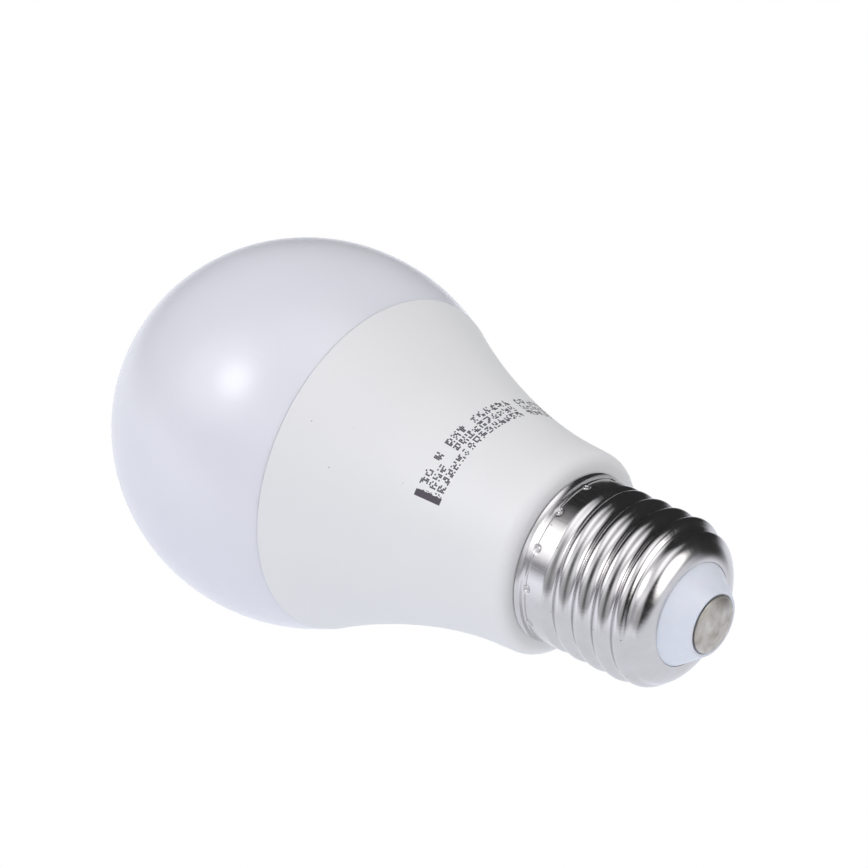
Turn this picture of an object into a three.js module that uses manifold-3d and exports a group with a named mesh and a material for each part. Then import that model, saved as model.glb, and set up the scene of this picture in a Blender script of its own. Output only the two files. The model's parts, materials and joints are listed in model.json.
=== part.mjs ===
// A screw-in LED light bulb that switches itself on at dusk: an A60 globe on an E27 cap.
// Millimetres. The origin is the middle of the centre contact's end face, +Z runs out of the cap
// along the bulb's axis, and the globe hangs below. The driver board stands in the XZ plane.
import * as THREE from 'three';
import { mergeVertices } from 'three/addons/utils/BufferGeometryUtils.js';
import Module from 'manifold-3d';

const wasm = await Module();
wasm.setup();

// --- Driving dimensions -------------------------------------------------------------------------

const fitGap = 0.3; // clearance between pieces that touch
const turns = 32; // facets round the large turned pieces
const fineTurns = 20; // facets round the small turned pieces

// Globe: the lower part of an ellipsoid, with a spigot that enters the housing
const globeRadius = 30.5;
const globeDepth = 32.1; // from the equator to the pole
const equatorDrop = 14.7; // from the seam to the equator
const globeWall = 1.6;
const spigotStep = 1.3; // the spigot's step in from the globe's outside
const spigotWall = 1.2;
const spigotLength = 2.2;
const sealantHeight = 0.9;

// Housing: an S-curved shell from the seam to the collar
const housingLength = 38.4; // from the cap's rim to the seam
const rimStep = 0.8; // how far the housing stands proud of the globe at the seam
const rimRound = 0.6;
const housingWall = 1.4;
const collarOverhang = 2.95; // beyond the cap's flared rim
const collarHeight = 4.4; // the rounded collar above the S-curve
const collarRound = 2.1;
const neckWall = 1.2;
const neckStepHeight = 4.2; // the part of the neck that fills the plain skirt
const neckLength = 12; // the neck inside the cap
const railDepth = 1.7; // the guide rails that hold the driver board
const railThickness = 1;
const wireNotchWidth = 1.8;
const wireNotchDepth = 3;

// Screw shell: E27, rolled from sheet, with a right-hand thread of round crests and roots
const capLength = 26.8; // from the contact's end face to the rim
const threadPitch = 3.629;
const threadCrestRadius = 13.15;
const threadDepth = 0.9;
const threadArc = 1.025; // the radius of the crests and roots
const skirtLength = 3.8; // plain, between the rim and the thread
const shoulderHeight = 5.5; // rounded, between the thread and the shell's end
const threadFade = 1.5; // where the thread runs in from the plain skirt
const crestOffset = 1.2; // the last crest below the shoulder, on the +X side
const rowsPerPitch = 6;
const skirtInset = 0.1; // the plain skirt inside the thread's crests
const skirtFlare = 0.3;
const flareLength = 0.8;
const shellWall = 0.35;
const shellEndRadius = 8.1;
const shoulderRows = 7;

// Insulator and centre contact
const insulatorHeight = 4.5; // from the shell's end to the contact's end face
const insulatorFlangeHeight = 2;
const insulatorFloor = 1.6;
const insulatorLip = 0.5;
const contactRadius = 4.45;
const contactFlatRadius = 1.5;
const contactDome = 0.45;
const contactEdge = 0.35;
const shankRadius = 1.2;
const shankLength = 8;

// Heat sink cup, thermal pad and LED board
const cupWall = 1;
const cupFloor = 1.2;
const cupDrop = 4.5; // from the cup's floor to the seam
const cupTopDrop = 2.5; // from the collar's foot to the cup's top
const cupHoleRadius = 6.5;
const padThickness = 0.4;
const boardMargin = 1.2; // the LED board's edge inside the cup's floor
const ledBoardThickness = 1;
const ledCount = 12;
const ledSize = { width: 2.8, length: 3.5, height: 0.7 };
const ledInset = 6.6; // the LED ring inside the board's edge
const screwCount = 3;
const screwInset = 2.9;
const screwHeadRadius = 1.9;
const screwHeadHeight = 1.3;
const screwRadius = 0.9;
const screwTip = 1.5; // how far a screw reaches through the cup's floor
const socketSize = { width: 7.5, depth: 3.4, height: 2.6 };
const sensorRadius = 2.5;
const sensorHeight = 2;
const sleeveWall = 0.5;
const sleeveHeight = 4;
const sensorLeadRadius = 0.3;
const sensorLeadSpacing = 2.6;

// Driver board, with the places of its parts along it from the LED end
const driverThickness = 1.2;
const driverClearance = 0.8; // between the board's edges and what surrounds it
const driverFoot = 4; // from the cup's floor to the board
const driverHead = 2.5; // from the board's end to the neck's end
const partSpacing = 1; // between neighbouring parts on the board
const outputCapacitor = { radius: 3.15, height: 11 };
const transformer = { width: 12.5, depth: 8, yoke: 1.8, legRadius: 2.6, windingThickness: 1.3 };
const filmCapacitor = { width: 9, depth: 4.5, height: 7.5 };
const choke = { radius: 3.2, height: 5.5 };
const varistor = { radius: 3.5, thickness: 3 };
const fuseResistor = { radius: 1.5, length: 8 };
const bridgeRectifier = { width: 4.7, depth: 1.7, height: 3.9 };
const driverChip = { width: 4.9, depth: 1.6, height: 3.9 };
const sensorChip = { width: 3.9, depth: 1.4, height: 3 };
const outputDiode = { width: 4.3, depth: 2.2, height: 2.6 };
const pinSize = 0.7;
const pinSpacing = 3.5;
const wireRadius = 0.6;

// --- Levels and radii worked out from them -------------------------------------------------------

const capRimZ = -capLength;
const seamZ = capRimZ - fitGap - housingLength; // the housing's edge at the globe
const globeTopZ = seamZ - fitGap;
const equatorZ = globeTopZ - equatorDrop;
const globeSeamRadius = globeRadius * Math.sqrt(1 - (equatorDrop / globeDepth) ** 2);
const spigotRadius = globeSeamRadius - spigotStep;
const spigotTopZ = globeTopZ + spigotLength;
const housingRimRadius = globeSeamRadius + rimStep;
const collarTopZ = capRimZ - fitGap;
const collarZ = collarTopZ - collarHeight;
const shellEndZ = -insulatorHeight;
const shoulderZ = shellEndZ - shoulderHeight;
const threadStartZ = capRimZ + skirtLength;
const threadLength = shoulderZ - threadStartZ;
const skirtRadius = threadCrestRadius - skirtInset;
const collarRadius = skirtRadius + skirtFlare + collarOverhang;
const neckRadius = skirtRadius - shellWall - fitGap;
const neckTipRadius = threadCrestRadius - threadDepth - shellWall - fitGap;
const neckBore = neckTipRadius - neckWall;
const neckTopZ = collarTopZ + neckLength;
const cupFloorZ = seamZ + cupDrop; // the face that carries the LED board
const padZ = cupFloorZ - fitGap;
const ledBoardZ = padZ - padThickness - fitGap;
const ledZ = ledBoardZ - ledBoardThickness - fitGap;
const driverFootZ = cupFloorZ + cupFloor + driverFoot;
const driverTopZ = neckTopZ - driverHead;
const sleeveRadius = sensorRadius + fitGap + sleeveWall;
const socketOffset = sleeveRadius + fitGap + socketSize.depth / 2; // from the axis to its middle

// --- Tools ---------------------------------------------------------------------------------------

const bulb = new THREE.Group();

function addPiece(name, geometry, finish, parent = bulb) {
  const mesh = new THREE.Mesh(geometry, new THREE.MeshStandardMaterial(finish));
  mesh.name = name;
  parent.add(mesh);
  return mesh;
}

const at = (radius, z) => new THREE.Vector2(radius, z);

// A profile of (radius, z) points turned round the Z axis
function turned(profile, facets = turns) {
  return new THREE.LatheGeometry(profile, facets).rotateX(Math.PI / 2);
}

// Points on an ellipse's arc between two angles, measured from the radius direction towards +Z
function arc(radius, z, radialSize, axialSize, fromDegrees, toDegrees, steps) {
  return Array.from({ length: steps + 1 }, (_, i) => {
    const angle = THREE.MathUtils.degToRad(fromDegrees + ((toDegrees - fromDegrees) * i) / steps);
    return at(radius + radialSize * Math.cos(angle), z + axialSize * Math.sin(angle));
  });
}

function solidOf(geometry) {
  const bare = geometry.clone();
  bare.deleteAttribute('normal');
  bare.deleteAttribute('uv');
  const merged = mergeVertices(bare, 1e-4);
  const vertProperties = merged.attributes.position.array;
  const triVerts = new Uint32Array(merged.index.array);
  return new wasm.Manifold(new wasm.Mesh({ numProp: 3, vertProperties, triVerts }));
}

function geometryOf(solid) {
  const { vertProperties, triVerts } = solid.getMesh();
  const geometry = new THREE.BufferGeometry();
  geometry.setAttribute('position', new THREE.BufferAttribute(vertProperties, 3));
  geometry.setIndex(new THREE.BufferAttribute(triVerts, 1));
  geometry.computeVertexNormals();
  return geometry;
}

function cutFrom(geometry, ...cutters) {
  return geometryOf(cutters.reduce((solid, cutter) => solid.subtract(solidOf(cutter)), solidOf(geometry)));
}

function joined(geometry, ...additions) {
  return geometryOf(additions.reduce((solid, part) => solid.add(solidOf(part)), solidOf(geometry)));
}

// A block given by its size and its middle
function block(width, depth, height, x = 0, y = 0, z = 0) {
  return new THREE.BoxGeometry(width, depth, height).translate(x, y, z);
}

// A round bar along Z from one level to another
function bar(radius, fromZ, toZ, x = 0, y = 0, facets = fineTurns) {
  const height = Math.abs(toZ - fromZ);
  const cylinder = new THREE.CylinderGeometry(radius, radius, height, facets).rotateX(Math.PI / 2);
  return cylinder.translate(x, y, (fromZ + toZ) / 2);
}

// A round wire along a smooth curve through points
function wire(points, radius) {
  const path = new THREE.CatmullRomCurve3(points.map((point) => new THREE.Vector3(...point)));
  const section = new THREE.Shape().absarc(0, 0, radius, 0, 2 * Math.PI);
  return new THREE.ExtrudeGeometry(section, { extrudePath: path, steps: 24, curveSegments: 4 });
}

// A point on a ring round the axis
function onRing(radius, index, count, startDegrees = 0) {
  const angle = THREE.MathUtils.degToRad(startDegrees) + (2 * Math.PI * index) / count;
  return { x: radius * Math.cos(angle), y: radius * Math.sin(angle), angle };
}

// --- Finishes ------------------------------------------------------------------------------------

const opalPlastic = { color: 0xdadce8, roughness: 0.25, metalness: 0 };
const whitePlastic = { color: 0xececee, roughness: 0.5, metalness: 0 };
const insulatorPlastic = { color: 0xd0d8e6, roughness: 0.45, metalness: 0 };
const nickelPlate = { color: 0xb4b0aa, roughness: 0.18, metalness: 1 };
const contactNickel = { color: 0xaaa7a0, roughness: 0.35, metalness: 1 };
const drawnAluminium = { color: 0xb9bcc0, roughness: 0.4, metalness: 1 };
const zincSteel = { color: 0xa8abb0, roughness: 0.35, metalness: 1 };
const tinnedCopper = { color: 0xc9c9c6, roughness: 0.3, metalness: 1 };
const siliconePad = { color: 0x8c9aa8, roughness: 0.8, metalness: 0 };
const clearSilicone = { color: 0xe4e4e0, roughness: 0.5, metalness: 0 };
const whiteMask = { color: 0xf2f2ee, roughness: 0.35, metalness: 0 };
const phosphor = { color: 0xf0d060, roughness: 0.4, metalness: 0 };
const socketNylon = { color: 0xe8e4d8, roughness: 0.45, metalness: 0 };
const blackSleeve = { color: 0x1c1c1e, roughness: 0.6, metalness: 0 };
const sensorCeramic = { color: 0xb5603a, roughness: 0.35, metalness: 0 };
const greenBoard = { color: 0x2f6b3c, roughness: 0.4, metalness: 0 };
const blackEpoxy = { color: 0x1e1e20, roughness: 0.5, metalness: 0 };
const capacitorSleeve = { color: 0x23304f, roughness: 0.35, metalness: 0 };
const filmBox = { color: 0xc8a53a, roughness: 0.4, metalness: 0 };
const ferrite = { color: 0x3a3a3c, roughness: 0.7, metalness: 0 };
const windingTape = { color: 0xd8b23c, roughness: 0.45, metalness: 0 };
const blueLacquer = { color: 0x2c5fa8, roughness: 0.35, metalness: 0 };
const greenLacquer = { color: 0x4f8a58, roughness: 0.5, metalness: 0 };
const redInsulation = { color: 0xb5322c, roughness: 0.45, metalness: 0 };
const whiteInsulation = { color: 0xe2e2e0, roughness: 0.45, metalness: 0 };

// --- Globe and its seal --------------------------------------------------------------------------

function buildGlobe() {
  const seamAngle = THREE.MathUtils.radToDeg(Math.asin(equatorDrop / globeDepth));
  const innerRadius = globeRadius - globeWall;
  const innerDepth = globeDepth - globeWall;
  const spigotBore = spigotRadius - spigotWall;
  const innerAngle = seamAngle - 3.5;
  const profile = [
    ...arc(0, equatorZ, globeRadius, globeDepth, -90, seamAngle, 16),
    at(spigotRadius, globeTopZ),
    at(spigotRadius, spigotTopZ),
    at(spigotBore, spigotTopZ),
    at(spigotBore, globeTopZ - globeWall / 3),
    ...arc(0, equatorZ, innerRadius, innerDepth, innerAngle, -90, 12),
  ];
  profile[0].x = 0;
  profile.at(-1).x = 0;
  addPiece('diffuser_globe', turned(profile), opalPlastic);

  const bead = [
    at(spigotBore, spigotTopZ + fitGap),
    at(spigotRadius, spigotTopZ + fitGap),
    at(spigotRadius, spigotTopZ + fitGap + sealantHeight),
    at(spigotBore, spigotTopZ + fitGap + sealantHeight),
    at(spigotBore, spigotTopZ + fitGap),
  ];
  addPiece('globe_sealant', turned(bead), clearSilicone);
}

// --- Housing and the aluminium cup inside it -----------------------------------------------------

// The outer S-curve, from the collar down to the rim at the seam
const curveLength = collarZ - (seamZ + rimRound);
const housingCurve = new THREE.CubicBezierCurve(
  at(collarRadius, collarZ),
  at(collarRadius + 0.08 * curveLength, collarZ - 0.775 * curveLength),
  at(housingRimRadius - 0.033 * curveLength, collarZ - 0.877 * curveLength),
  at(housingRimRadius, seamZ + rimRound),
);

// A point of the curve moved inwards along its normal
function insideCurve(t, depth) {
  const point = housingCurve.getPoint(t);
  const tangent = housingCurve.getTangent(t);
  return at(point.x + tangent.y * depth, point.y - tangent.x * depth);
}

// The share of the way along the curve at which its inward copy reaches a level
function shareAtLevel(z, depth) {
  let low = 0;
  let high = 1;
  for (let i = 0; i < 40; i += 1) {
    const middle = (low + high) / 2;
    if (insideCurve(middle, depth).y > z) low = middle;
    else high = middle;
  }
  return low;
}

function insideStretch(fromZ, toZ, depth, steps) {
  const from = shareAtLevel(fromZ, depth);
  const to = shareAtLevel(toZ, depth);
  return Array.from({ length: steps + 1 }, (_, i) => insideCurve(from + ((to - from) * i) / steps, depth));
}

const cupDepth = housingWall + fitGap;
const cupTopZ = collarZ - cupTopDrop;
const cupFloorRadius = insideCurve(shareAtLevel(cupFloorZ, cupDepth), cupDepth).x;
const ledBoardRadius = cupFloorRadius - boardMargin;
const screwCircle = ledBoardRadius - screwInset;
const ledCircle = ledBoardRadius - ledInset;

function buildHousing() {
  const rebateRadius = spigotRadius + fitGap;
  const rebateZ = spigotTopZ + fitGap + sealantHeight + fitGap;
  const chestZ = collarZ - 1; // where the bore opens out below the collar
  const outside = [
    ...arc(housingRimRadius - rimRound, seamZ + rimRound, rimRound, rimRound, -90, 0, 3),
    ...housingCurve.getPoints(14).reverse().slice(1),
    ...arc(collarRadius - collarRound - 0.3, collarTopZ - collarRound, collarRound, collarRound, 0, 90, 5),
    at(neckRadius, collarTopZ),
    at(neckRadius, collarTopZ + neckStepHeight),
    at(neckTipRadius, collarTopZ + neckStepHeight + fitGap),
    at(neckTipRadius, neckTopZ),
  ];
  const inside = [
    at(neckBore, neckTopZ),
    at(neckBore, collarZ + housingWall),
    ...insideStretch(chestZ, rebateZ, housingWall, 9),
    at(rebateRadius, rebateZ),
    at(rebateRadius, seamZ),
    at(housingRimRadius - rimRound, seamZ),
  ];
  const shell = turned([...outside, ...inside]);

  // Rails on both sides of the board's two edges, sunk into the neck's wall
  const rails = [-1, 1].flatMap((side) => [-1, 1].map((face) => {
    const length = railDepth + neckWall / 2;
    const x = side * (neckBore + neckWall / 2 - length / 2);
    const y = face * (driverThickness / 2 + fitGap + railThickness / 2);
    const height = neckLength - 1;
    return block(length, railThickness, height, x, y, neckTopZ - 0.6 - height / 2);
  }));
  const notchX = -(neckBore + neckWall / 2);
  const notch = block(neckWall * 3, wireNotchWidth, wireNotchDepth * 2, notchX, 4, neckTopZ);
  addPiece('housing_shell', cutFrom(joined(shell, ...rails), notch), whitePlastic);
}

function buildCup() {
  const floorTopZ = cupFloorZ + cupFloor;
  const profile = [
    at(cupHoleRadius, cupFloorZ),
    ...insideStretch(cupTopZ, cupFloorZ, cupDepth, 8).reverse(),
    ...insideStretch(cupTopZ, floorTopZ, cupDepth + cupWall, 8),
    at(cupHoleRadius, floorTopZ),
    at(cupHoleRadius, cupFloorZ),
  ];
  const holes = Array.from({ length: screwCount }, (_, i) => {
    const { x, y } = onRing(screwCircle, i, screwCount, 30);
    return bar(screwRadius + fitGap, cupFloorZ - 1, floorTopZ + 1, x, y, 12);
  });
  addPiece('heat_sink_cup', cutFrom(turned(profile), ...holes), drawnAluminium);
}

// --- LED board and what sits on it ---------------------------------------------------------------

// A disc with the screw holes and a window for the wiring and the sensor's leads
function boardDisc(radius, thickness, topZ, windowRadius) {
  const outline = new THREE.Shape().absarc(0, 0, radius, 0, 2 * Math.PI);
  for (let i = 0; i < screwCount; i += 1) {
    const { x, y } = onRing(screwCircle, i, screwCount, 30);
    outline.holes.push(new THREE.Path().absarc(x, y, screwRadius + fitGap, 0, 2 * Math.PI, true));
  }
  if (windowRadius) outline.holes.push(new THREE.Path().absarc(0, 0, windowRadius, 0, 2 * Math.PI, true));
  const disc = { depth: thickness, bevelEnabled: false, curveSegments: 16 };
  return new THREE.ExtrudeGeometry(outline, disc).translate(0, 0, topZ - thickness);
}

function buildLedBoard() {
  addPiece('thermal_pad', boardDisc(ledBoardRadius - fitGap, padThickness, padZ, cupHoleRadius), siliconePad);

  const sensorHoles = [-1, 1].map((side) => bar(
    sensorLeadRadius + fitGap, ledBoardZ + 1, ledBoardZ - ledBoardThickness - 1,
    0, (side * sensorLeadSpacing) / 2, 10,
  ));
  const pinHoles = [-1, 1].map((side) => {
    const hole = pinSize + 2 * fitGap;
    return block(hole, hole, 4, (side * pinSpacing) / 2, -socketOffset, ledBoardZ - ledBoardThickness / 2);
  });
  const board = boardDisc(ledBoardRadius, ledBoardThickness, ledBoardZ, 0);
  addPiece('led_board', cutFrom(board, ...sensorHoles, ...pinHoles), whiteMask);

  for (let i = 0; i < ledCount; i += 1) {
    const { x, y, angle } = onRing(ledCircle, i, ledCount, 15);
    const led = new THREE.BoxGeometry(ledSize.width, ledSize.length, ledSize.height);
    const mesh = addPiece(`led_${String(i + 1).padStart(2, '0')}`, led, phosphor);
    mesh.position.set(x, y, ledZ - ledSize.height / 2);
    mesh.rotation.z = angle;
  }

  for (let i = 0; i < screwCount; i += 1) {
    const { x, y } = onRing(screwCircle, i, screwCount, 30);
    const screw = [
      at(0, ledZ - screwHeadHeight),
      at(screwHeadRadius * 0.6, ledZ - screwHeadHeight),
      at(screwHeadRadius, ledZ - screwHeadHeight * 0.5),
      at(screwHeadRadius, ledZ),
      at(screwRadius, ledZ),
      at(screwRadius, cupFloorZ + cupFloor + screwTip - screwRadius),
      at(0, cupFloorZ + cupFloor + screwTip),
    ];
    addPiece(`board_screw_${i + 1}`, turned(screw, 16), zincSteel).position.set(x, y, 0);
  }
}

function buildSensor() {
  const tube = [
    at(sensorRadius + fitGap, ledZ - sleeveHeight),
    at(sleeveRadius, ledZ - sleeveHeight),
    at(sleeveRadius, ledZ),
    at(sensorRadius + fitGap, ledZ),
    at(sensorRadius + fitGap, ledZ - sleeveHeight),
  ];
  addPiece('sensor_sleeve', turned(tube, fineTurns), blackSleeve);

  const sensorZ = ledZ - sleeveHeight + sensorHeight;
  addPiece('light_sensor', bar(sensorRadius, sensorZ - sensorHeight * 0.8, sensorZ), sensorCeramic);
  for (const side of [-1, 1]) {
    const lead = bar(
      sensorLeadRadius, sensorZ + fitGap, driverFootZ - 2 * fitGap, 0, (side * sensorLeadSpacing) / 2, 8,
    );
    addPiece(side < 0 ? 'sensor_lead_1' : 'sensor_lead_2', lead, tinnedCopper);
  }
}

function buildSocket() {
  const { width, depth, height } = socketSize;
  const body = block(width, depth, height, 0, -socketOffset, ledZ - height / 2);
  const bores = [-1, 1].map((side) => {
    const bore = pinSize + 2 * fitGap;
    return block(bore, bore, height + 2, (side * pinSpacing) / 2, -socketOffset, ledZ - height / 2);
  });
  addPiece('board_socket', cutFrom(body, ...bores), socketNylon);
}

// --- Driver board --------------------------------------------------------------------------------

const driverWidth = 2 * (neckBore - driverClearance);
const shoulderLevel = cupTopZ; // the board is wide inside the cup and narrow in the neck
const cupBoreAtShoulder = insideCurve(shareAtLevel(cupTopZ, cupDepth + cupWall), cupDepth + cupWall).x;
const driverWideWidth = Math.max(2 * (cupBoreAtShoulder - driverClearance), driverWidth);

// A board part that stands off one face of the board: face is +1 or -1, x and z are its middle
function onBoard(name, geometry, finish, face, x, z, standOff) {
  const mesh = addPiece(name, geometry, finish);
  mesh.position.set(x, face * (driverThickness / 2 + fitGap + standOff), z);
  return mesh;
}

// A can capacitor lying along Z, with the rolled groove near its leads
function capacitorCan({ radius, height }) {
  const groove = radius * 0.9;
  const profile = [
    at(0, -height / 2),
    at(radius - 0.4, -height / 2),
    at(radius, -height / 2 + 0.4),
    at(radius, height / 2 - 2.6),
    at(groove, height / 2 - 2),
    at(radius, height / 2 - 1.4),
    at(radius, height / 2 - 0.3),
    at(radius - 0.3, height / 2),
    at(0, height / 2),
  ];
  return turned(profile, fineTurns);
}

function buildDriverBoard() {
  const outline = new THREE.Shape([
    at(-driverWideWidth / 2, driverFootZ),
    at(driverWideWidth / 2, driverFootZ),
    at(driverWideWidth / 2, shoulderLevel - 1),
    at(driverWidth / 2, shoulderLevel),
    at(driverWidth / 2, driverTopZ),
    at(-driverWidth / 2, driverTopZ),
    at(-driverWidth / 2, shoulderLevel),
    at(-driverWideWidth / 2, shoulderLevel - 1),
  ]);
  const board = new THREE.ExtrudeGeometry(outline, { depth: driverThickness, bevelEnabled: false });
  board.translate(0, 0, -driverThickness / 2).rotateX(Math.PI / 2);
  addPiece('driver_board', board, greenBoard);

  // +Y face: a capacitor fills the neck, and the transformer what the output capacitor leaves
  const canRadius = (neckBore - driverThickness / 2 - 2 * fitGap) / 2 - fitGap;
  const canHeight = driverTopZ - shoulderLevel - 2 * partSpacing;
  const inputCan = capacitorCan({ radius: canRadius, height: canHeight });
  onBoard('input_capacitor', inputCan, capacitorSleeve, 1, 0, (driverTopZ + shoulderLevel) / 2, canRadius);
  const outputZ = driverFootZ + partSpacing + outputCapacitor.radius;
  const outputCan = capacitorCan(outputCapacitor).rotateY(Math.PI / 2);
  onBoard('output_capacitor', outputCan, capacitorSleeve, 1, 2.5, outputZ, outputCapacitor.radius);
  const transformerFootZ = outputZ + outputCapacitor.radius + partSpacing;
  buildTransformer(transformerFootZ, shoulderLevel - partSpacing);
  const diodeX = 2.5 - outputCapacitor.height / 2 - partSpacing - outputDiode.width / 2;
  boardBlock('output_diode', outputDiode, blackEpoxy, 1, diodeX, outputZ);

  // -Y face: the mains parts in the neck, then the filter, then a row of chips at the foot
  const fuseZ = driverTopZ - partSpacing - fuseResistor.length / 2;
  const fuse = bar(fuseResistor.radius, -fuseResistor.length / 2, fuseResistor.length / 2);
  onBoard('fuse_resistor', fuse, greenLacquer, -1, -4.5, fuseZ, fuseResistor.radius);
  const disc = bar(varistor.radius, -varistor.thickness / 2, varistor.thickness / 2).rotateX(Math.PI / 2);
  const varistorZ = driverTopZ - partSpacing - varistor.radius;
  onBoard('varistor', disc, blueLacquer, -1, 1.6, varistorZ, varistor.thickness / 2);
  const filterZ = shoulderLevel - partSpacing - filmCapacitor.height / 2;
  boardBlock('film_capacitor', filmCapacitor, filmBox, -1, -5, filterZ);
  const bobbin = bar(choke.radius, -choke.height / 2, choke.height / 2).rotateX(Math.PI / 2);
  onBoard('filter_choke', bobbin, ferrite, -1, 4, filterZ, choke.height / 2);
  const chipZ = driverFootZ + partSpacing + driverChip.height / 2;
  boardBlock('bridge_rectifier', bridgeRectifier, blackEpoxy, -1, -7, chipZ);
  boardBlock('driver_chip', driverChip, blackEpoxy, -1, 0, chipZ);
  boardBlock('sensor_chip', sensorChip, blackEpoxy, -1, 6.5, chipZ);
}

// A box-shaped board part: its depth is its height off the board
function boardBlock(name, { width, depth, height }, finish, face, x, z) {
  return onBoard(name, new THREE.BoxGeometry(width, depth, height), finish, face, x, z, depth / 2);
}

function buildTransformer(footZ, topZ) {
  const { width, depth, yoke, legRadius, windingThickness } = transformer;
  const height = topZ - footZ;
  const windowHeight = height - 2 * yoke;
  const core = cutFrom(block(width, depth, height), block(width - 2 * yoke, depth + 2, windowHeight));
  const leg = bar(legRadius, -height / 2 + yoke / 2, height / 2 - yoke / 2);
  const z = (footZ + topZ) / 2;
  onBoard('transformer_core', joined(core, leg), ferrite, 1, 0, z, depth / 2);
  const halfWinding = windowHeight / 2 - fitGap;
  const bore = legRadius + fitGap;
  const winding = [
    at(bore, -halfWinding),
    at(bore + windingThickness, -halfWinding),
    at(bore + windingThickness, halfWinding),
    at(bore, halfWinding),
    at(bore, -halfWinding),
  ];
  onBoard('transformer_winding', turned(winding, fineTurns), windingTape, 1, 0, z, depth / 2);
}

function buildOutputPins() {
  const top = driverFootZ - fitGap;
  const bottom = ledZ - socketSize.height + 0.5;
  for (const side of [-1, 1]) {
    const pin = wire([
      [(side * pinSpacing) / 2, 0, top],
      [(side * pinSpacing) / 2, -0.4, top - 1],
      [(side * pinSpacing) / 2, -socketOffset + 0.6, top - 3],
      [(side * pinSpacing) / 2, -socketOffset, top - 5],
      [(side * pinSpacing) / 2, -socketOffset, bottom],
    ], pinSize / 2);
    addPiece(side < 0 ? 'output_pin_1' : 'output_pin_2', pin, tinnedCopper);
  }
}

function buildWires() {
  const start = driverTopZ + fitGap + 0.2;
  const shankEnd = -contactDome - contactEdge - shankLength;
  addPiece('live_wire', wire([
    [4, 0, start],
    [4, 0.3, start + 1.2],
    [1.6, 0.4, start + 3.4],
    [0, 0, shankEnd - 2],
    [0, 0, shankEnd - fitGap],
  ], wireRadius), redInsulation);
  addPiece('neutral_wire', wire([
    [-4.5, 0, start],
    [-4.5, 1, start + 1.6],
    [-6.5, 3, neckTopZ + 0.2],
    [-(neckBore + 0.1), 4, neckTopZ - 0.8],
  ], wireRadius), whiteInsulation);
}

// --- Screw cap -----------------------------------------------------------------------------------

// The height of a rolled thread's section, 0 on a crest and -threadDepth in a root
function threadSection(axialDistance) {
  const half = threadPitch / 2;
  const slope = Math.acos(1 - threadDepth / (2 * threadArc));
  const reach = threadArc * Math.sin(slope);
  const fromCrest = Math.abs(axialDistance - threadPitch * Math.round(axialDistance / threadPitch));
  const fromRoot = half - fromCrest;
  if (fromCrest < reach) return Math.sqrt(threadArc ** 2 - fromCrest ** 2) - threadArc;
  if (fromRoot < reach) return threadArc - threadDepth - Math.sqrt(threadArc ** 2 - fromRoot ** 2);
  return -threadDepth / 2;
}

const shoulderWidth = threadCrestRadius - shellEndRadius;

// The unthreaded outline from the rim to the shell's end, each point with its outward normal
function shellOutline() {
  const outline = [
    { point: at(skirtRadius + skirtFlare, capRimZ), normal: at(1, 0) },
    { point: at(skirtRadius, capRimZ + flareLength), normal: at(1, 0) },
  ];
  const rows = Math.round((threadLength / threadPitch) * rowsPerPitch);
  for (let i = 0; i <= rows; i += 1) {
    const share = i / rows;
    const radius = THREE.MathUtils.lerp(skirtRadius, threadCrestRadius, Math.min(1, 3 * share));
    outline.push({ point: at(radius, threadStartZ + share * threadLength), normal: at(1, 0) });
  }
  for (let i = 1; i <= shoulderRows; i += 1) {
    const angle = (Math.PI / 2) * (i / shoulderRows);
    const normal = at(Math.cos(angle) / shoulderWidth, Math.sin(angle) / shoulderHeight).normalize();
    const point = at(
      shellEndRadius + shoulderWidth * Math.cos(angle),
      shoulderZ + shoulderHeight * Math.sin(angle),
    );
    outline.push({ point, normal });
  }
  return outline;
}

// How deep the thread is at a level: it runs in above the skirt and out over the shoulder
function threadStrength(z) {
  const runIn = THREE.MathUtils.smoothstep(z, threadStartZ, threadStartZ + threadFade);
  const runOut = 1 - THREE.MathUtils.smoothstep(z, shoulderZ, shellEndZ - 0.8);
  return runIn * runOut;
}

// The shell is one sheet: a loop of rows up the outside and down the inside, round the axis
function buildScrewShell() {
  const outline = shellOutline();
  const sheetPoint = ({ point, normal }, angle, inset) => {
    const crestZ = shoulderZ - crestOffset + (threadPitch * angle) / (2 * Math.PI);
    const lift = threadSection(point.y - crestZ) * threadStrength(point.y) - inset;
    const radius = point.x + normal.x * lift;
    return [radius * Math.cos(angle), radius * Math.sin(angle), point.y + normal.y * lift];
  };
  const loop = [
    ...outline.map((station) => [station, 0]),
    ...outline.toReversed().map((station) => [station, shellWall]),
  ];
  const positions = [];
  for (let column = 0; column < turns; column += 1) {
    const angle = (2 * Math.PI * column) / turns;
    for (const [station, inset] of loop) positions.push(...sheetPoint(station, angle, inset));
  }
  const index = [];
  for (let column = 0; column < turns; column += 1) {
    const next = (column + 1) % turns;
    for (let row = 0; row < loop.length; row += 1) {
      const above = (row + 1) % loop.length;
      const [a, b] = [column * loop.length + row, next * loop.length + row];
      const [c, d] = [next * loop.length + above, column * loop.length + above];
      index.push(a, b, c, a, c, d);
    }
  }
  const sheet = new THREE.BufferGeometry();
  sheet.setAttribute('position', new THREE.Float32BufferAttribute(positions, 3));
  sheet.setIndex(index);
  sheet.computeVertexNormals();
  addPiece('screw_shell', sheet, nickelPlate);
}

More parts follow.
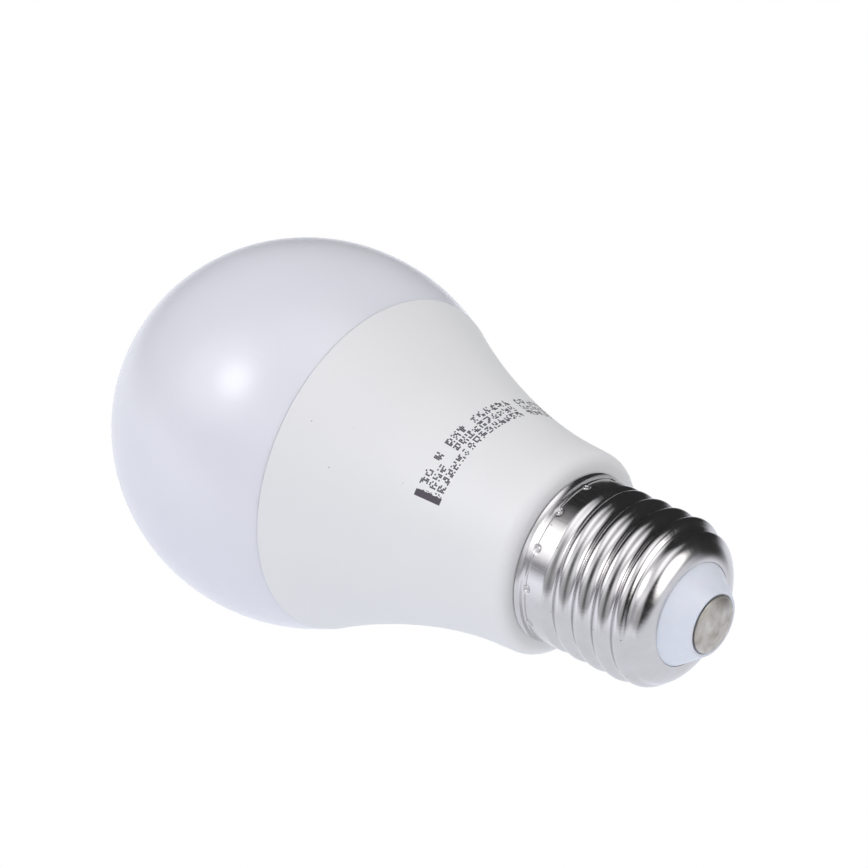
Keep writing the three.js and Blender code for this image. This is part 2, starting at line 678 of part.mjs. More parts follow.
function buildInsulator() {
  const seatZ = -contactDome - contactEdge - fitGap; // the face under the contact's disc
  const lipRadius = contactRadius + fitGap;
  const bore = shankRadius + fitGap;
  const coneRadius = shellEndRadius - fitGap;
  const flangeTopZ = shellEndZ - shellWall - 2 * fitGap;
  const flangeBottomZ = flangeTopZ - insulatorFlangeHeight;
  const shoulderShare = Math.sqrt(1 - ((flangeTopZ - shoulderZ) / shoulderHeight) ** 2);
  const flangeRadius = shellEndRadius + shoulderWidth * shoulderShare - 2 * shellWall - fitGap;
  const profile = [
    at(bore, seatZ),
    at(bore, flangeBottomZ),
    at(bore + 1.6, flangeBottomZ),
    at(bore + 1.6, seatZ - insulatorFloor),
    at(flangeRadius - 2.2, flangeTopZ),
    at(flangeRadius - 1.4, flangeBottomZ),
    at(flangeRadius, flangeBottomZ),
    at(flangeRadius, flangeTopZ),
    at(coneRadius, flangeTopZ),
    at(coneRadius, shellEndZ),
    at(lipRadius + insulatorLip, seatZ + 0.2),
    at(lipRadius + insulatorLip * 0.6, seatZ + contactEdge),
    at(lipRadius, seatZ + contactEdge),
    at(lipRadius, seatZ),
    at(bore, seatZ),
  ];
  addPiece('cap_insulator', turned(profile), insulatorPlastic);
}

function buildContact() {
  const undersideZ = -contactDome - contactEdge;
  const domeSpan = contactRadius - contactFlatRadius;
  const dome = Array.from({ length: 5 }, (_, i) => {
    const share = i / 4;
    return at(contactFlatRadius + domeSpan * share, -contactDome * share ** 2);
  });
  const profile = [
    at(0, undersideZ - shankLength),
    at(shankRadius - 0.3, undersideZ - shankLength),
    at(shankRadius, undersideZ - shankLength + 0.5),
    at(shankRadius, undersideZ),
    at(contactRadius, undersideZ),
    ...dome.reverse(),
    at(0, 0),
  ];
  addPiece('centre_contact', turned(profile, 32), contactNickel);
}

buildGlobe();
buildHousing();
buildCup();
buildLedBoard();
buildSensor();
buildSocket();
buildDriverBoard();
buildOutputPins();
buildWires();
buildScrewShell();
buildInsulator();
buildContact();

export default bulb;
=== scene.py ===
import json
import math

import bpy
from mathutils import Matrix, Vector, noise

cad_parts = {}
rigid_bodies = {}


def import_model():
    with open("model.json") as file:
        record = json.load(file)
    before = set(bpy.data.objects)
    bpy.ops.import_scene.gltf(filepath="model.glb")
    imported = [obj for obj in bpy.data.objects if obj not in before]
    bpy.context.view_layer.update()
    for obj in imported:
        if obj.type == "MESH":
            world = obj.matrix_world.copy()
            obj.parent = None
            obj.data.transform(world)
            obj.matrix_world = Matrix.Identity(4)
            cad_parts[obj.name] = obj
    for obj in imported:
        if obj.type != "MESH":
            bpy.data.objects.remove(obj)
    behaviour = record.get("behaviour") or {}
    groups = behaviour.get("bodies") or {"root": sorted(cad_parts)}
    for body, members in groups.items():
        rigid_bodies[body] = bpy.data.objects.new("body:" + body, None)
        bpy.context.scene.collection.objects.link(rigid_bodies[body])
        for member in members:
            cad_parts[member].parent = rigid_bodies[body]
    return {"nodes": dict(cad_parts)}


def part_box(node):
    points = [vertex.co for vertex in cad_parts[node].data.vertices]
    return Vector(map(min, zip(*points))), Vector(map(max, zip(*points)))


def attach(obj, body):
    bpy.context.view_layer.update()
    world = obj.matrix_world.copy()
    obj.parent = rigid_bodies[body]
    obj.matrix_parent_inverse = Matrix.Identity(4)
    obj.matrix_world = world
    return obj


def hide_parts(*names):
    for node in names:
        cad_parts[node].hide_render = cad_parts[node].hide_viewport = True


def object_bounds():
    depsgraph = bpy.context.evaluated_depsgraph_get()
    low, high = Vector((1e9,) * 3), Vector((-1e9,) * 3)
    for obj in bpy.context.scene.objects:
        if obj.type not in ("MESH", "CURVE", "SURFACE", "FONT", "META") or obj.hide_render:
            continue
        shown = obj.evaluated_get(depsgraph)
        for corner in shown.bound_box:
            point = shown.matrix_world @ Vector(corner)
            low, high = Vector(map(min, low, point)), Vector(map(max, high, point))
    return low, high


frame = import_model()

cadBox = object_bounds()
mm = 0.001
print("frame loaded:", len(frame["nodes"]), "nodes")


def toLinear(hexColour):
    channels = [int(hexColour[i:i + 2], 16) / 255 for i in (1, 3, 5)]
    curve = [c / 12.92 if c <= 0.04045 else ((c + 0.055) / 1.055) ** 2.4 for c in channels]
    return (*curve, 1.0)


def addNode(tree, kind, settings=None, inputs=None):
    node = tree.nodes.new(kind)
    for name, value in (settings or {}).items():
        setattr(node, name, value)
    for name, value in (inputs or {}).items():
        if isinstance(value, bpy.types.Node):
            value = value.outputs[0]
        if isinstance(value, bpy.types.NodeSocket):
            tree.links.new(value, node.inputs[name])
        else:
            node.inputs[name].default_value = value
    return node


# a material with its shader set, and the object's coordinates in millimetres for its patterns
def startMaterial(name, hexColour, roughness, **surface):
    material = bpy.data.materials.new(name)
    material.use_nodes = True
    tree = material.node_tree
    shader = tree.nodes["Principled BSDF"]
    shader.inputs["Base Color"].default_value = toLinear(hexColour)
    shader.inputs["Roughness"].default_value = roughness
    for socket, value in surface.items():
        shader.inputs[socket.replace("_", " ")].default_value = value
    place = addNode(tree, "ShaderNodeTexCoord").outputs["Object"]
    inMm = addNode(tree, "ShaderNodeMapping", None, {"Vector": place, "Scale": (1 / mm, 1 / mm, 1 / mm)})
    return material, tree, shader, inMm


def meshObject(name, vertices, faces):
    mesh = bpy.data.meshes.new(name)
    mesh.from_pydata(vertices, [], faces)
    mesh.update()
    piece = bpy.data.objects.new(name, mesh)
    bpy.context.scene.collection.objects.link(piece)
    return piece


# smooth shading that stays crisp where two faces meet at more than an angle
def smoothOff(piece, sharpDegrees=35):
    piece.data.polygons.foreach_set("use_smooth", [True] * len(piece.data.polygons))
    piece.data.set_sharp_from_angle(angle=math.radians(sharpDegrees))


# an outline in (radius, z) whose corners (radius, z, fillet) are rounded by arcs
def roundedOutline(corners, closed, steps=6):
    outline = []
    count = len(corners)
    for i, (radius, z, fillet) in enumerate(corners):
        here = Vector((radius, z))
        atEnd = not closed and i in (0, count - 1)
        if fillet <= 0 or atEnd:
            outline.append((radius, z))
            continue
        before = Vector(corners[i - 1][:2]) - here
        after = Vector(corners[(i + 1) % count][:2]) - here
        half = before.angle(after) / 2
        reach = min(fillet / math.tan(half), 0.49 * before.length, 0.49 * after.length)
        size = reach * math.tan(half)
        centre = here + (before.normalized() + after.normalized()).normalized() * (size / math.sin(half))
        start = here + before.normalized() * reach - centre
        end = here + after.normalized() * reach - centre
        turn = start.angle_signed(end)
        for k in range(steps + 1):
            angle = -turn * k / steps
            spun = Vector((
                start.x * math.cos(angle) - start.y * math.sin(angle),
                start.x * math.sin(angle) + start.y * math.cos(angle),
            ))
            outline.append(tuple(centre + spun))
    return outline


# an outline in millimetres turned round Z, from axis to axis or closed on itself
def revolve(name, outline, segments, closed):
    vertices = []
    rings = []
    for radius, z in outline:
        if radius < 1e-4:
            rings.append([len(vertices)] * segments)
            vertices.append((0, 0, z * mm))
            continue
        rings.append(range(len(vertices), len(vertices) + segments))
        for k in range(segments):
            angle = 2 * math.pi * k / segments
            vertices.append((radius * math.cos(angle) * mm, radius * math.sin(angle) * mm, z * mm))
    faces = []
    pairs = list(zip(rings, rings[1:])) + ([(rings[-1], rings[0])] if closed else [])
    for low, high in pairs:
        for k in range(segments):
            loop = [low[k], low[(k + 1) % segments], high[(k + 1) % segments], high[k]]
            corner = list(dict.fromkeys(loop))
            if len(corner) > 2:
                faces.append(corner)
    return meshObject(name, vertices, faces)


def finishPiece(piece, material, slot, *nodes):
    if material.name not in piece.data.materials:
        piece.data.materials.append(material)
    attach(piece, "root")
    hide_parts(*nodes)
    return piece


def ellipseArc(radius, z, radialSize, axialSize, fromDegrees, toDegrees, steps):
    angles = [math.radians(fromDegrees + (toDegrees - fromDegrees) * i / steps) for i in range(steps + 1)]
    return [(radius + radialSize * math.cos(a), z + axialSize * math.sin(a)) for a in angles]


cameraSetup = {
    "place": (0, -0.4141, 0.2347),
    "aim": (-0.0074, -0.027, -0.04),
    "roll": 114.87,
    "lens": 137.6,
}


def buildCamera():
    camera = bpy.data.objects.new("camera", bpy.data.cameras.new("camera"))
    bpy.context.scene.collection.objects.link(camera)
    place = Vector(cameraSetup["place"])
    looking = (Vector(cameraSetup["aim"]) - place).to_track_quat("-Z", "Y").to_matrix()
    turned = looking @ Matrix.Rotation(math.radians(cameraSetup["roll"]), 3, "Z")
    camera.matrix_world = Matrix.Translation(place) @ turned.to_4x4()
    camera.data.lens = cameraSetup["lens"]
    camera.data.sensor_width = 36
    camera.data.clip_start = 0.01
    bpy.context.scene.camera = camera
    return turned


# what stands round the bulb, with directions given as (right, up, away) as seen by the camera
studio = {
    "darkRoom": ("#ffffff", 0.035),
    "table": ("#fafbff", 1.0),
    "tableNormals": ((0.063, 0.675, -0.736), (0.06, 0.95, -0.3)),  # it shows below both planes
    "tableEdge": 0.14,  # how softly the table ends
    "tableSize": 1.6,
    "tableGap": 0.0002,  # between the globe and the table under it
    "blackFlag": ((0.93, 0.05, 0.36), 8, 16),
    "lamps": {
        # direction, angular radius and soft edge in degrees, strength, colour
        "umbrella": ((-0.68, 0.48, -0.56), 5, 7, 3.5, "#fffefc"),
        "umbrella rim": ((-0.77, 0.47, -0.43), 10, 20, 1.3, "#fffefc"),
        "big diffuser": ((-0.15, 0.56, -0.82), 26, 30, 0.9, "#fdfdff"),
        "top wall": ((0.4, 0.62, -0.68), 12, 24, 0.8, "#fdfdff"),
        "side wall": ((-0.93, 0.0, -0.36), 14, 34, 0.38, "#f6f6ff"),
        "right lamp": ((0.89, -0.04, -0.46), 8, 17, 3.0, "#fffefc"),
        "low front": ((-0.3, -0.35, -0.9), 10, 30, 0.5, "#fdfdff"),
    },
    "fills": {
        # direction, sun width in degrees, strength, colour, shadows; they light matt surfaces only
        "front fill": ((0.0, 0.1, -1.0), 150, 1.1, "#f2f1ff", False),
        "top left fill": ((-0.6, 0.7, -0.4), 120, 1.6, "#ffffff", True),
        "top right fill": ((0.6, 0.7, -0.1), 120, 1.0, "#ffffff", True),
        "low left fill": ((-0.6, -0.7, -0.2), 120, 0.5, "#f4f8ff", True),
        "low right fill": ((0.6, -0.7, -0.2), 120, 0.8, "#fffdf8", True),
        "table fill": ((-0.06, -0.675, 0.736), 175, 1.6, "#e8f1ff", True),
    },
}


def buildStudio(axes):
    world = bpy.data.worlds.new("studio")
    bpy.context.scene.world = world
    world.use_nodes = True
    tree = world.node_tree
    tree.nodes.clear()
    direction = addNode(tree, "ShaderNodeTexCoord").outputs["Generated"]

    def toWorld(seen):
        right, up, away = seen
        return (axes @ Vector((right, up, -away))).normalized()

    def lobe(label, seen, innerCos, outerCos, strength, hexColour):
        facing = addNode(
            tree, "ShaderNodeVectorMath", {"operation": "DOT_PRODUCT"}, {0: direction, 1: toWorld(seen)})
        level = addNode(
            tree, "ShaderNodeMapRange", {"interpolation_type": "SMOOTHSTEP", "label": label},
            {"Value": facing.outputs["Value"], "From Min": outerCos, "From Max": innerCos,
             "To Min": 0.0, "To Max": strength})
        return addNode(
            tree, "ShaderNodeVectorMath", {"operation": "SCALE"},
            {0: toLinear(hexColour)[:3], "Scale": level})

    roomColour, roomLevel = studio["darkRoom"]
    tableColour, tableLevel = studio["table"]
    edge = studio["tableEdge"]
    flag, flagSize, flagSoft = studio["blackFlag"]
    flagInner = math.cos(math.radians(flagSize))
    flagOuter = math.cos(math.radians(flagSize + flagSoft))
    table = lobe("flag", flag, flagInner, flagOuter, -1.0, "#ffffff")
    table = addNode(tree, "ShaderNodeVectorMath", {"operation": "ADD"}, {0: (1.0, 1.0, 1.0), 1: table})
    for normal in studio["tableNormals"]:
        below = tuple(-c for c in normal)
        part = lobe("table", below, edge, -edge, tableLevel, tableColour)
        table = addNode(tree, "ShaderNodeVectorMath", {"operation": "MULTIPLY"}, {0: table, 1: part})
    lobes = [table]
    for label, (seen, size, soft, strength, colour) in studio["lamps"].items():
        inner = math.cos(math.radians(size))
        outer = math.cos(math.radians(size + soft))
        lobes.append(lobe(label, seen, inner, outer, strength, colour))
    total = addNode(
        tree, "ShaderNodeVectorMath", {"operation": "SCALE", "label": "room"},
        {0: toLinear(roomColour)[:3], "Scale": roomLevel})
    for one in lobes:
        total = addNode(tree, "ShaderNodeVectorMath", {"operation": "ADD"}, {0: total, 1: one})
    lit = addNode(tree, "ShaderNodeBackground", None, {"Color": total, "Strength": 1.0})
    paper = addNode(tree, "ShaderNodeBackground", None, {"Color": (1, 1, 1, 1), "Strength": 1.0})
    seenRay = addNode(tree, "ShaderNodeLightPath").outputs["Is Camera Ray"]
    either = addNode(tree, "ShaderNodeMixShader", None, {0: seenRay, 1: lit, 2: paper})
    addNode(tree, "ShaderNodeOutputWorld", None, {"Surface": either})
    world.cycles_visibility.diffuse = False  # the fills below light what is matt

    for label, (seen, width, strength, colour, shadows) in studio["fills"].items():
        lamp = bpy.data.lights.new(label, "SUN")
        lamp.angle = math.radians(width)
        lamp.energy = strength
        lamp.color = toLinear(colour)[:3]
        lamp.use_shadow = shadows
        fill = bpy.data.objects.new(label, lamp)
        fill.rotation_euler = toWorld(seen).to_track_quat("Z", "Y").to_euler()
        fill.visible_glossy = False
        fill.visible_transmission = False
        bpy.context.scene.collection.objects.link(fill)

    # a white table top just under the globe, which lights nothing by itself
    size = studio["tableSize"]
    level = cadBox[0].z - studio["tableGap"]
    corners = [(-size, -size, level), (size, -size, level), (size, size, level), (-size, size, level)]
    floor = meshObject("floor", corners, [(0, 1, 2, 3)])
    paperWhite = bpy.data.materials.new("paper white table")
    paperWhite.use_nodes = True
    glow = paperWhite.node_tree
    glow.nodes.clear()
    white = addNode(glow, "ShaderNodeEmission", None, {"Color": (1, 1, 1, 1), "Strength": 1.0})
    addNode(glow, "ShaderNodeOutputMaterial", None, {"Surface": white})
    floor.data.materials.append(paperWhite)
    floor.visible_glossy = False
    floor.visible_diffuse = False
    floor.visible_transmission = False
    floor.visible_shadow = False
    bpy.context.scene.view_settings.view_transform = "Standard"


cameraAxes = buildCamera()
buildStudio(cameraAxes)
print("camera and studio set")


def boxMm(node):
    low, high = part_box(node)
    return low / mm, high / mm


housingLow, housingHigh = boxMm("housing_shell")
globeLow, globeHigh = boxMm("diffuser_globe")
shellLow, shellHigh = boxMm("screw_shell")
insulatorLow, insulatorHigh = boxMm("cap_insulator")
contactLow, contactHigh = boxMm("centre_contact")
seamZ = housingLow.z
rimZ = shellLow.z


def opalPolycarbonate():
    # opal polycarbonate, injection moulded: milky, even and glossy, with hairline handling marks
    material, tree, shader, place = startMaterial(
        "opal polycarbonate, moulded", "#ecedf5", 0.2,
        IOR=1.58, Subsurface_Weight=0.35, Subsurface_Scale=0.004, Specular_IOR_Level=0.5)
    shader.inputs["Subsurface Radius"].default_value = (0.9, 0.95, 1.0)
    broad = addNode(tree, "ShaderNodeTexNoise", None, {
        "Vector": place, "Scale": 0.05, "Detail": 2.0})
    tint = addNode(tree, "ShaderNodeMix", {"data_type": "RGBA"}, {
        0: broad, 6: toLinear("#e9eaf4"), 7: toLinear("#f0f1f7")})
    tree.links.new(tint.outputs[2], shader.inputs["Base Color"])
    # polish varies over about 8 mm, and hairlines a few tenths of a millimetre wide cross it
    polish = addNode(tree, "ShaderNodeTexNoise", None, {
        "Vector": place, "Scale": 0.12, "Detail": 5.0})
    swept = addNode(tree, "ShaderNodeMapping", None, {"Vector": place, "Scale": (0.15, 2.2, 0.6)})
    hair = addNode(tree, "ShaderNodeTexNoise", None, {"Vector": swept, "Scale": 1.0, "Detail": 3.0})
    rough = addNode(tree, "ShaderNodeMapRange", None, {
        "Value": polish, "From Min": 0.3, "From Max": 0.7, "To Min": 0.17, "To Max": 0.24})
    tree.links.new(rough.outputs[0], shader.inputs["Roughness"])
    # a few long scratches, drawn where large cells meet and kept only here and there
    wide = addNode(tree, "ShaderNodeMapping", None, {"Vector": place, "Scale": (1.0, 0.7, 0.6)})
    cells = addNode(
        tree, "ShaderNodeTexVoronoi", {"feature": "DISTANCE_TO_EDGE"}, {"Vector": wide, "Scale": 0.055})
    thin = addNode(tree, "ShaderNodeMapRange", {"interpolation_type": "SMOOTHSTEP"}, {
        "Value": cells.outputs["Distance"], "From Min": 0.0, "From Max": 0.008,
        "To Min": 1.0, "To Max": 0.0})
    kept = addNode(tree, "ShaderNodeMapRange", None, {
        "Value": polish, "From Min": 0.55, "From Max": 0.62, "To Min": 0.0, "To Max": 1.0})
    scratch = addNode(tree, "ShaderNodeMath", {"operation": "MULTIPLY"}, {0: thin, 1: kept})
    marks = addNode(tree, "ShaderNodeMath", {"operation": "MULTIPLY_ADD"}, {0: hair, 1: 0.15, 2: polish})
    both = addNode(tree, "ShaderNodeMath", {"operation": "MULTIPLY_ADD"}, {0: scratch, 1: -1.2, 2: marks})
    bump = addNode(tree, "ShaderNodeBump", None, {"Height": both, "Strength": 0.05, "Distance": 0.0002})
    tree.links.new(bump.outputs[0], shader.inputs["Normal"])
    return material


# a generic ink-jet code: three rows of random dot blocks that hold no letters, and the smear at its start
inkCode = {
    "startDegrees": -86.3,
    "radius": 18.6,  # of the housing at the code, which turns degrees into millimetres
    "foot": -44.75,
    "rows": 3,
    "marks": 25,
    "markWidth": 1.42,
    "rowHeight": 1.46,
    "dotsAcross": 5,  # with one left empty between marks
    "dotsUp": 6,
    "dotRadius": 0.56,  # in dot steps, so that neighbours just run together
    "dotShare": 0.54,
    "markShare": 0.85,
    "smearWidth": 0.75,
    "smearWaver": 0.9,
    "smearStart": -0.5,
    "trim": 0.15,  # off the top row
    "joinDegrees": 170,  # where the angle jumps, well away from the code
}


def inkMask(tree, place):
    code = inkCode
    turned = addNode(tree, "ShaderNodeMapping", None, {
        "Vector": place, "Rotation": (0.0, 0.0, math.radians(code["joinDegrees"] - code["startDegrees"]))})
    x, y, z = addNode(tree, "ShaderNodeSeparateXYZ", None, {0: turned}).outputs
    value = {"x": x, "y": y, "z": z}
    # which mark, row and dot a place is in, and how far it is from the dot's middle
    gridSteps = [
        ("angle", "ARCTAN2", "y", "x"),
        ("pastStart", "SUBTRACT", math.radians(code["joinDegrees"]), "angle"),
        ("along", "MULTIPLY", "pastStart", code["radius"]),
        ("up", "SUBTRACT", "z", code["foot"]),
        ("marksAlong", "DIVIDE", "along", code["markWidth"]),
        ("rowsUp", "DIVIDE", "up", code["rowHeight"]),
        ("mark", "FLOOR", "marksAlong"),
        ("row", "FLOOR", "rowsUp"),
        ("inMark", "FRACT", "marksAlong"),
        ("inRow", "FRACT", "rowsUp"),
        ("dotsAlong", "MULTIPLY", "inMark", code["dotsAcross"]),
        ("dotsUp", "MULTIPLY", "inRow", code["dotsUp"]),
        ("dotX", "FLOOR", "dotsAlong"),
        ("dotY", "FLOOR", "dotsUp"),
        ("seedX", "MULTIPLY_ADD", "mark", 8.0, "dotX"),
        ("seedY", "MULTIPLY_ADD", "row", 16.0, "dotY"),
        ("inDotX", "FRACT", "dotsAlong"),
        ("inDotY", "FRACT", "dotsUp"),
        ("offX", "SUBTRACT", "inDotX", 0.5),
        ("offY", "SUBTRACT", "inDotY", 0.5),
        ("offX2", "POWER", "offX", 2.0),
        ("offY2", "POWER", "offY", 2.0),
        ("off2", "ADD", "offX2", "offY2"),
        ("off", "SQRT", "off2"),
    ]
    for name, operation, *terms in gridSteps:
        inputs = {i: value.get(term, term) for i, term in enumerate(terms)}
        value[name] = addNode(tree, "ShaderNodeMath", {"operation": operation}, inputs)
    for name, seeds in {"dotChance": ("seedX", "seedY", 7.5), "markChance": ("mark", "row", 50.5)}.items():
        seedPlace = addNode(
            tree, "ShaderNodeCombineXYZ", None, {i: value.get(seed, seed) for i, seed in enumerate(seeds)})
        value[name] = addNode(
            tree, "ShaderNodeTexWhiteNoise", {"noise_dimensions": "3D"}, {"Vector": seedPlace})
    value["waver"] = addNode(
        tree, "ShaderNodeTexNoise", None, {"Vector": place, "Scale": 1.6, "Detail": 3.0})
    # the dots that are inked, the smear, and the limits of both
    inkSteps = [
        ("dotOn", "GREATER_THAN", "dotChance", 1 - code["dotShare"]),
        ("markOn", "GREATER_THAN", "markChance", 1 - code["markShare"]),
        ("roomX", "LESS_THAN", "dotX", code["dotsAcross"] - 1.5),
        ("roomY", "LESS_THAN", "dotY", code["dotsUp"] - 1.5),
        ("onDot", "LESS_THAN", "off", code["dotRadius"]),
        ("on", "MULTIPLY", "dotOn", "markOn"),
        ("room", "MULTIPLY", "roomX", "roomY"),
        ("roomDot", "MULTIPLY", "room", "onDot"),
        ("dots", "MULTIPLY", "on", "roomDot"),
        ("smearEdge", "MULTIPLY_ADD", "waver", code["smearWaver"],
         code["smearWidth"] - code["smearWaver"] / 2),
        ("fromSmear", "ADD", "along", 0.1),
        ("reach", "ABSOLUTE", "fromSmear"),
        ("nearSmear", "LESS_THAN", "reach", "smearEdge"),
        ("pastEdge", "GREATER_THAN", "along", code["smearStart"]),
        ("smear", "MULTIPLY", "nearSmear", "pastEdge"),
        ("aboveFoot", "GREATER_THAN", "up", 0.0),
        ("belowTop", "LESS_THAN", "up", code["rows"] * code["rowHeight"] - code["trim"]),
        ("inRows", "MULTIPLY", "aboveFoot", "belowTop"),
        ("beforeEnd", "LESS_THAN", "along", code["marks"] * code["markWidth"]),
        ("pastSmear", "GREATER_THAN", "along", code["smearWidth"]),
        ("inLength", "MULTIPLY", "beforeEnd", "pastSmear"),
        ("keptDots", "MULTIPLY", "dots", "inLength"),
        ("ink", "MAXIMUM", "keptDots", "smear"),
        ("mask", "MULTIPLY", "ink", "inRows"),
    ]
    for name, operation, *terms in inkSteps:
        inputs = {i: value.get(term, term) for i, term in enumerate(terms)}
        value[name] = addNode(tree, "ShaderNodeMath", {"operation": operation}, inputs)
    return value["mask"]


def whitePbt():
    # white PBT, injection moulded over a spark-eroded tool: fine matt grain about 0.2 mm across
    material, tree, shader, place = startMaterial(
        "white PBT, spark-textured mould", "#eeeeec", 0.5,
        IOR=1.5, Subsurface_Weight=0.12, Subsurface_Scale=0.0015, Specular_IOR_Level=0.45)
    shader.inputs["Subsurface Radius"].default_value = (1.0, 0.95, 0.9)
    flow = addNode(tree, "ShaderNodeTexNoise", None, {
        "Vector": place, "Scale": 0.07, "Detail": 3.0})
    tint = addNode(tree, "ShaderNodeMix", {"data_type": "RGBA"}, {
        0: flow, 6: toLinear("#ebebea"), 7: toLinear("#f1f1ef")})
    specks = addNode(tree, "ShaderNodeTexVoronoi", None, {
        "Vector": place, "Scale": 0.16, "Randomness": 1.0})
    speckMask = addNode(tree, "ShaderNodeMapRange", None, {
        "Value": specks.outputs["Distance"], "From Min": 0.012, "From Max": 0.022,
        "To Min": 0.7, "To Max": 0.0})
    specked = addNode(tree, "ShaderNodeMix", {"data_type": "RGBA"}, {
        0: speckMask, 6: tint.outputs[2], 7: toLinear("#8d8984")})
    inked = addNode(tree, "ShaderNodeMix", {"data_type": "RGBA"}, {
        0: inkMask(tree, place), 6: specked.outputs[2], 7: toLinear("#4c4650")})
    tree.links.new(inked.outputs[2], shader.inputs["Base Color"])
    grain = addNode(tree, "ShaderNodeTexNoise", None, {
        "Vector": place, "Scale": 3.2, "Detail": 4.0, "Roughness": 0.6})
    bump = addNode(tree, "ShaderNodeBump", None, {"Height": grain, "Strength": 0.25, "Distance": 0.00004})
    tree.links.new(bump.outputs[0], shader.inputs["Normal"])
    return material


def nickelPlate():
    # nickel-plated sheet, deep drawn: near-mirror, with fine draw lines along the axis and pinhead pits
    material, tree, shader, place = startMaterial(
        "nickel-plated sheet, deep drawn", "#cac8c9", 0.14, Metallic=1.0)
    x, y, z = addNode(tree, "ShaderNodeSeparateXYZ", None, {0: place}).outputs
    outward = addNode(tree, "ShaderNodeCombineXYZ", None, {0: x, 1: y, 2: 0.0})
    around = addNode(tree, "ShaderNodeVectorMath", {"operation": "NORMALIZE"}, {0: outward})
    # the lines are about a quarter of a millimetre apart and a few millimetres long
    turned = addNode(tree, "ShaderNodeSeparateXYZ", None, {
        0: addNode(tree, "ShaderNodeVectorMath", {"operation": "SCALE"}, {0: around, "Scale": 55.0})})
    rise = addNode(tree, "ShaderNodeMath", {"operation": "MULTIPLY"}, {0: z, 1: 0.22})
    lineSpot = addNode(tree, "ShaderNodeCombineXYZ", None, {
        0: turned.outputs[0], 1: turned.outputs[1], 2: rise})
    lines = addNode(tree, "ShaderNodeTexNoise", None, {
        "Vector": lineSpot, "Scale": 1.0, "Detail": 4.0, "Roughness": 0.6})
    wear = addNode(tree, "ShaderNodeTexNoise", None, {
        "Vector": place, "Scale": 0.3, "Detail": 6.0, "Roughness": 0.6})
    pits = addNode(tree, "ShaderNodeTexVoronoi", None, {
        "Vector": place, "Scale": 0.42, "Randomness": 1.0})
    pitMask = addNode(tree, "ShaderNodeMapRange", None, {
        "Value": pits.outputs["Distance"], "From Min": 0.03, "From Max": 0.055,
        "To Min": 1.0, "To Max": 0.0})
    tint = addNode(tree, "ShaderNodeMix", {"data_type": "RGBA"}, {
        0: wear, 6: toLinear("#c2bfbf"), 7: toLinear("#d2d1d3")})
    pitted = addNode(tree, "ShaderNodeMix", {"data_type": "RGBA"}, {
        0: pitMask, 6: tint.outputs[2], 7: toLinear("#77736f")})
    tree.links.new(pitted.outputs[2], shader.inputs["Base Color"])
    dull = addNode(tree, "ShaderNodeMath", {"operation": "MULTIPLY_ADD"}, {0: wear, 1: 0.6, 2: lines})
    rough = addNode(tree, "ShaderNodeMapRange", None, {
        "Value": dull, "From Min": 0.6, "From Max": 1.0, "To Min": 0.11, "To Max": 0.21})
    tree.links.new(rough.outputs[0], shader.inputs["Roughness"])
    bump = addNode(tree, "ShaderNodeBump", None, {"Height": lines, "Strength": 0.22, "Distance": 0.00003})
    tree.links.new(bump.outputs[0], shader.inputs["Normal"])
    return material


def insulatorResin():
    # white phenolic-style insulator, compression moulded: dense, cool white, satin
    material, tree, shader, place = startMaterial(
        "cool white insulator resin, moulded", "#dfe4f0", 0.38,
        IOR=1.5, Subsurface_Weight=0.1, Subsurface_Scale=0.001)
    cloud = addNode(tree, "ShaderNodeTexNoise", None, {
        "Vector": place, "Scale": 0.4, "Detail": 3.0})
    tint = addNode(tree, "ShaderNodeMix", {"data_type": "RGBA"}, {
        0: cloud, 6: toLinear("#e0e6f0"), 7: toLinear("#edf0f6")})
    tree.links.new(tint.outputs[2], shader.inputs["Base Color"])
    grain = addNode(tree, "ShaderNodeTexNoise", None, {
        "Vector": place, "Scale": 5.0, "Detail": 3.0})
    bump = addNode(tree, "ShaderNodeBump", None, {"Height": grain, "Strength": 0.15, "Distance": 0.00003})
    tree.links.new(bump.outputs[0], shader.inputs["Normal"])
    return material


def contactNickel():
    # nickel-plated brass, stamped and handled: duller than the shell, with warm stains
    material, tree, shader, place = startMaterial(
        "nickel-plated contact, stamped", "#b9b4ab", 0.3, Metallic=1.0)
    stains = addNode(tree, "ShaderNodeTexNoise", None, {
        "Vector": place, "Scale": 0.32, "Detail": 6.0, "Roughness": 0.65,
        "Distortion": 0.6})
    ramp = addNode(tree, "ShaderNodeValToRGB", None, {"Fac": stains})
    ramp.color_ramp.elements[0].position = 0.36
    ramp.color_ramp.elements[0].color = toLinear("#a8a299")
    ramp.color_ramp.elements[1].position = 0.62
    ramp.color_ramp.elements[1].color = toLinear("#c6c3bd")
    tree.links.new(ramp.outputs[0], shader.inputs["Base Color"])
    rough = addNode(tree, "ShaderNodeMapRange", None, {
        "Value": stains, "From Min": 0.35, "From Max": 0.65, "To Min": 0.42, "To Max": 0.26})
    tree.links.new(rough.outputs[0], shader.inputs["Roughness"])
    grain = addNode(tree, "ShaderNodeTexNoise", None, {
        "Vector": place, "Scale": 4.0, "Detail": 5.0})
    bump = addNode(tree, "ShaderNodeBump", None, {"Height": grain, "Strength": 0.2, "Distance": 0.00004})
    tree.links.new(bump.outputs[0], shader.inputs["Normal"])
    return material


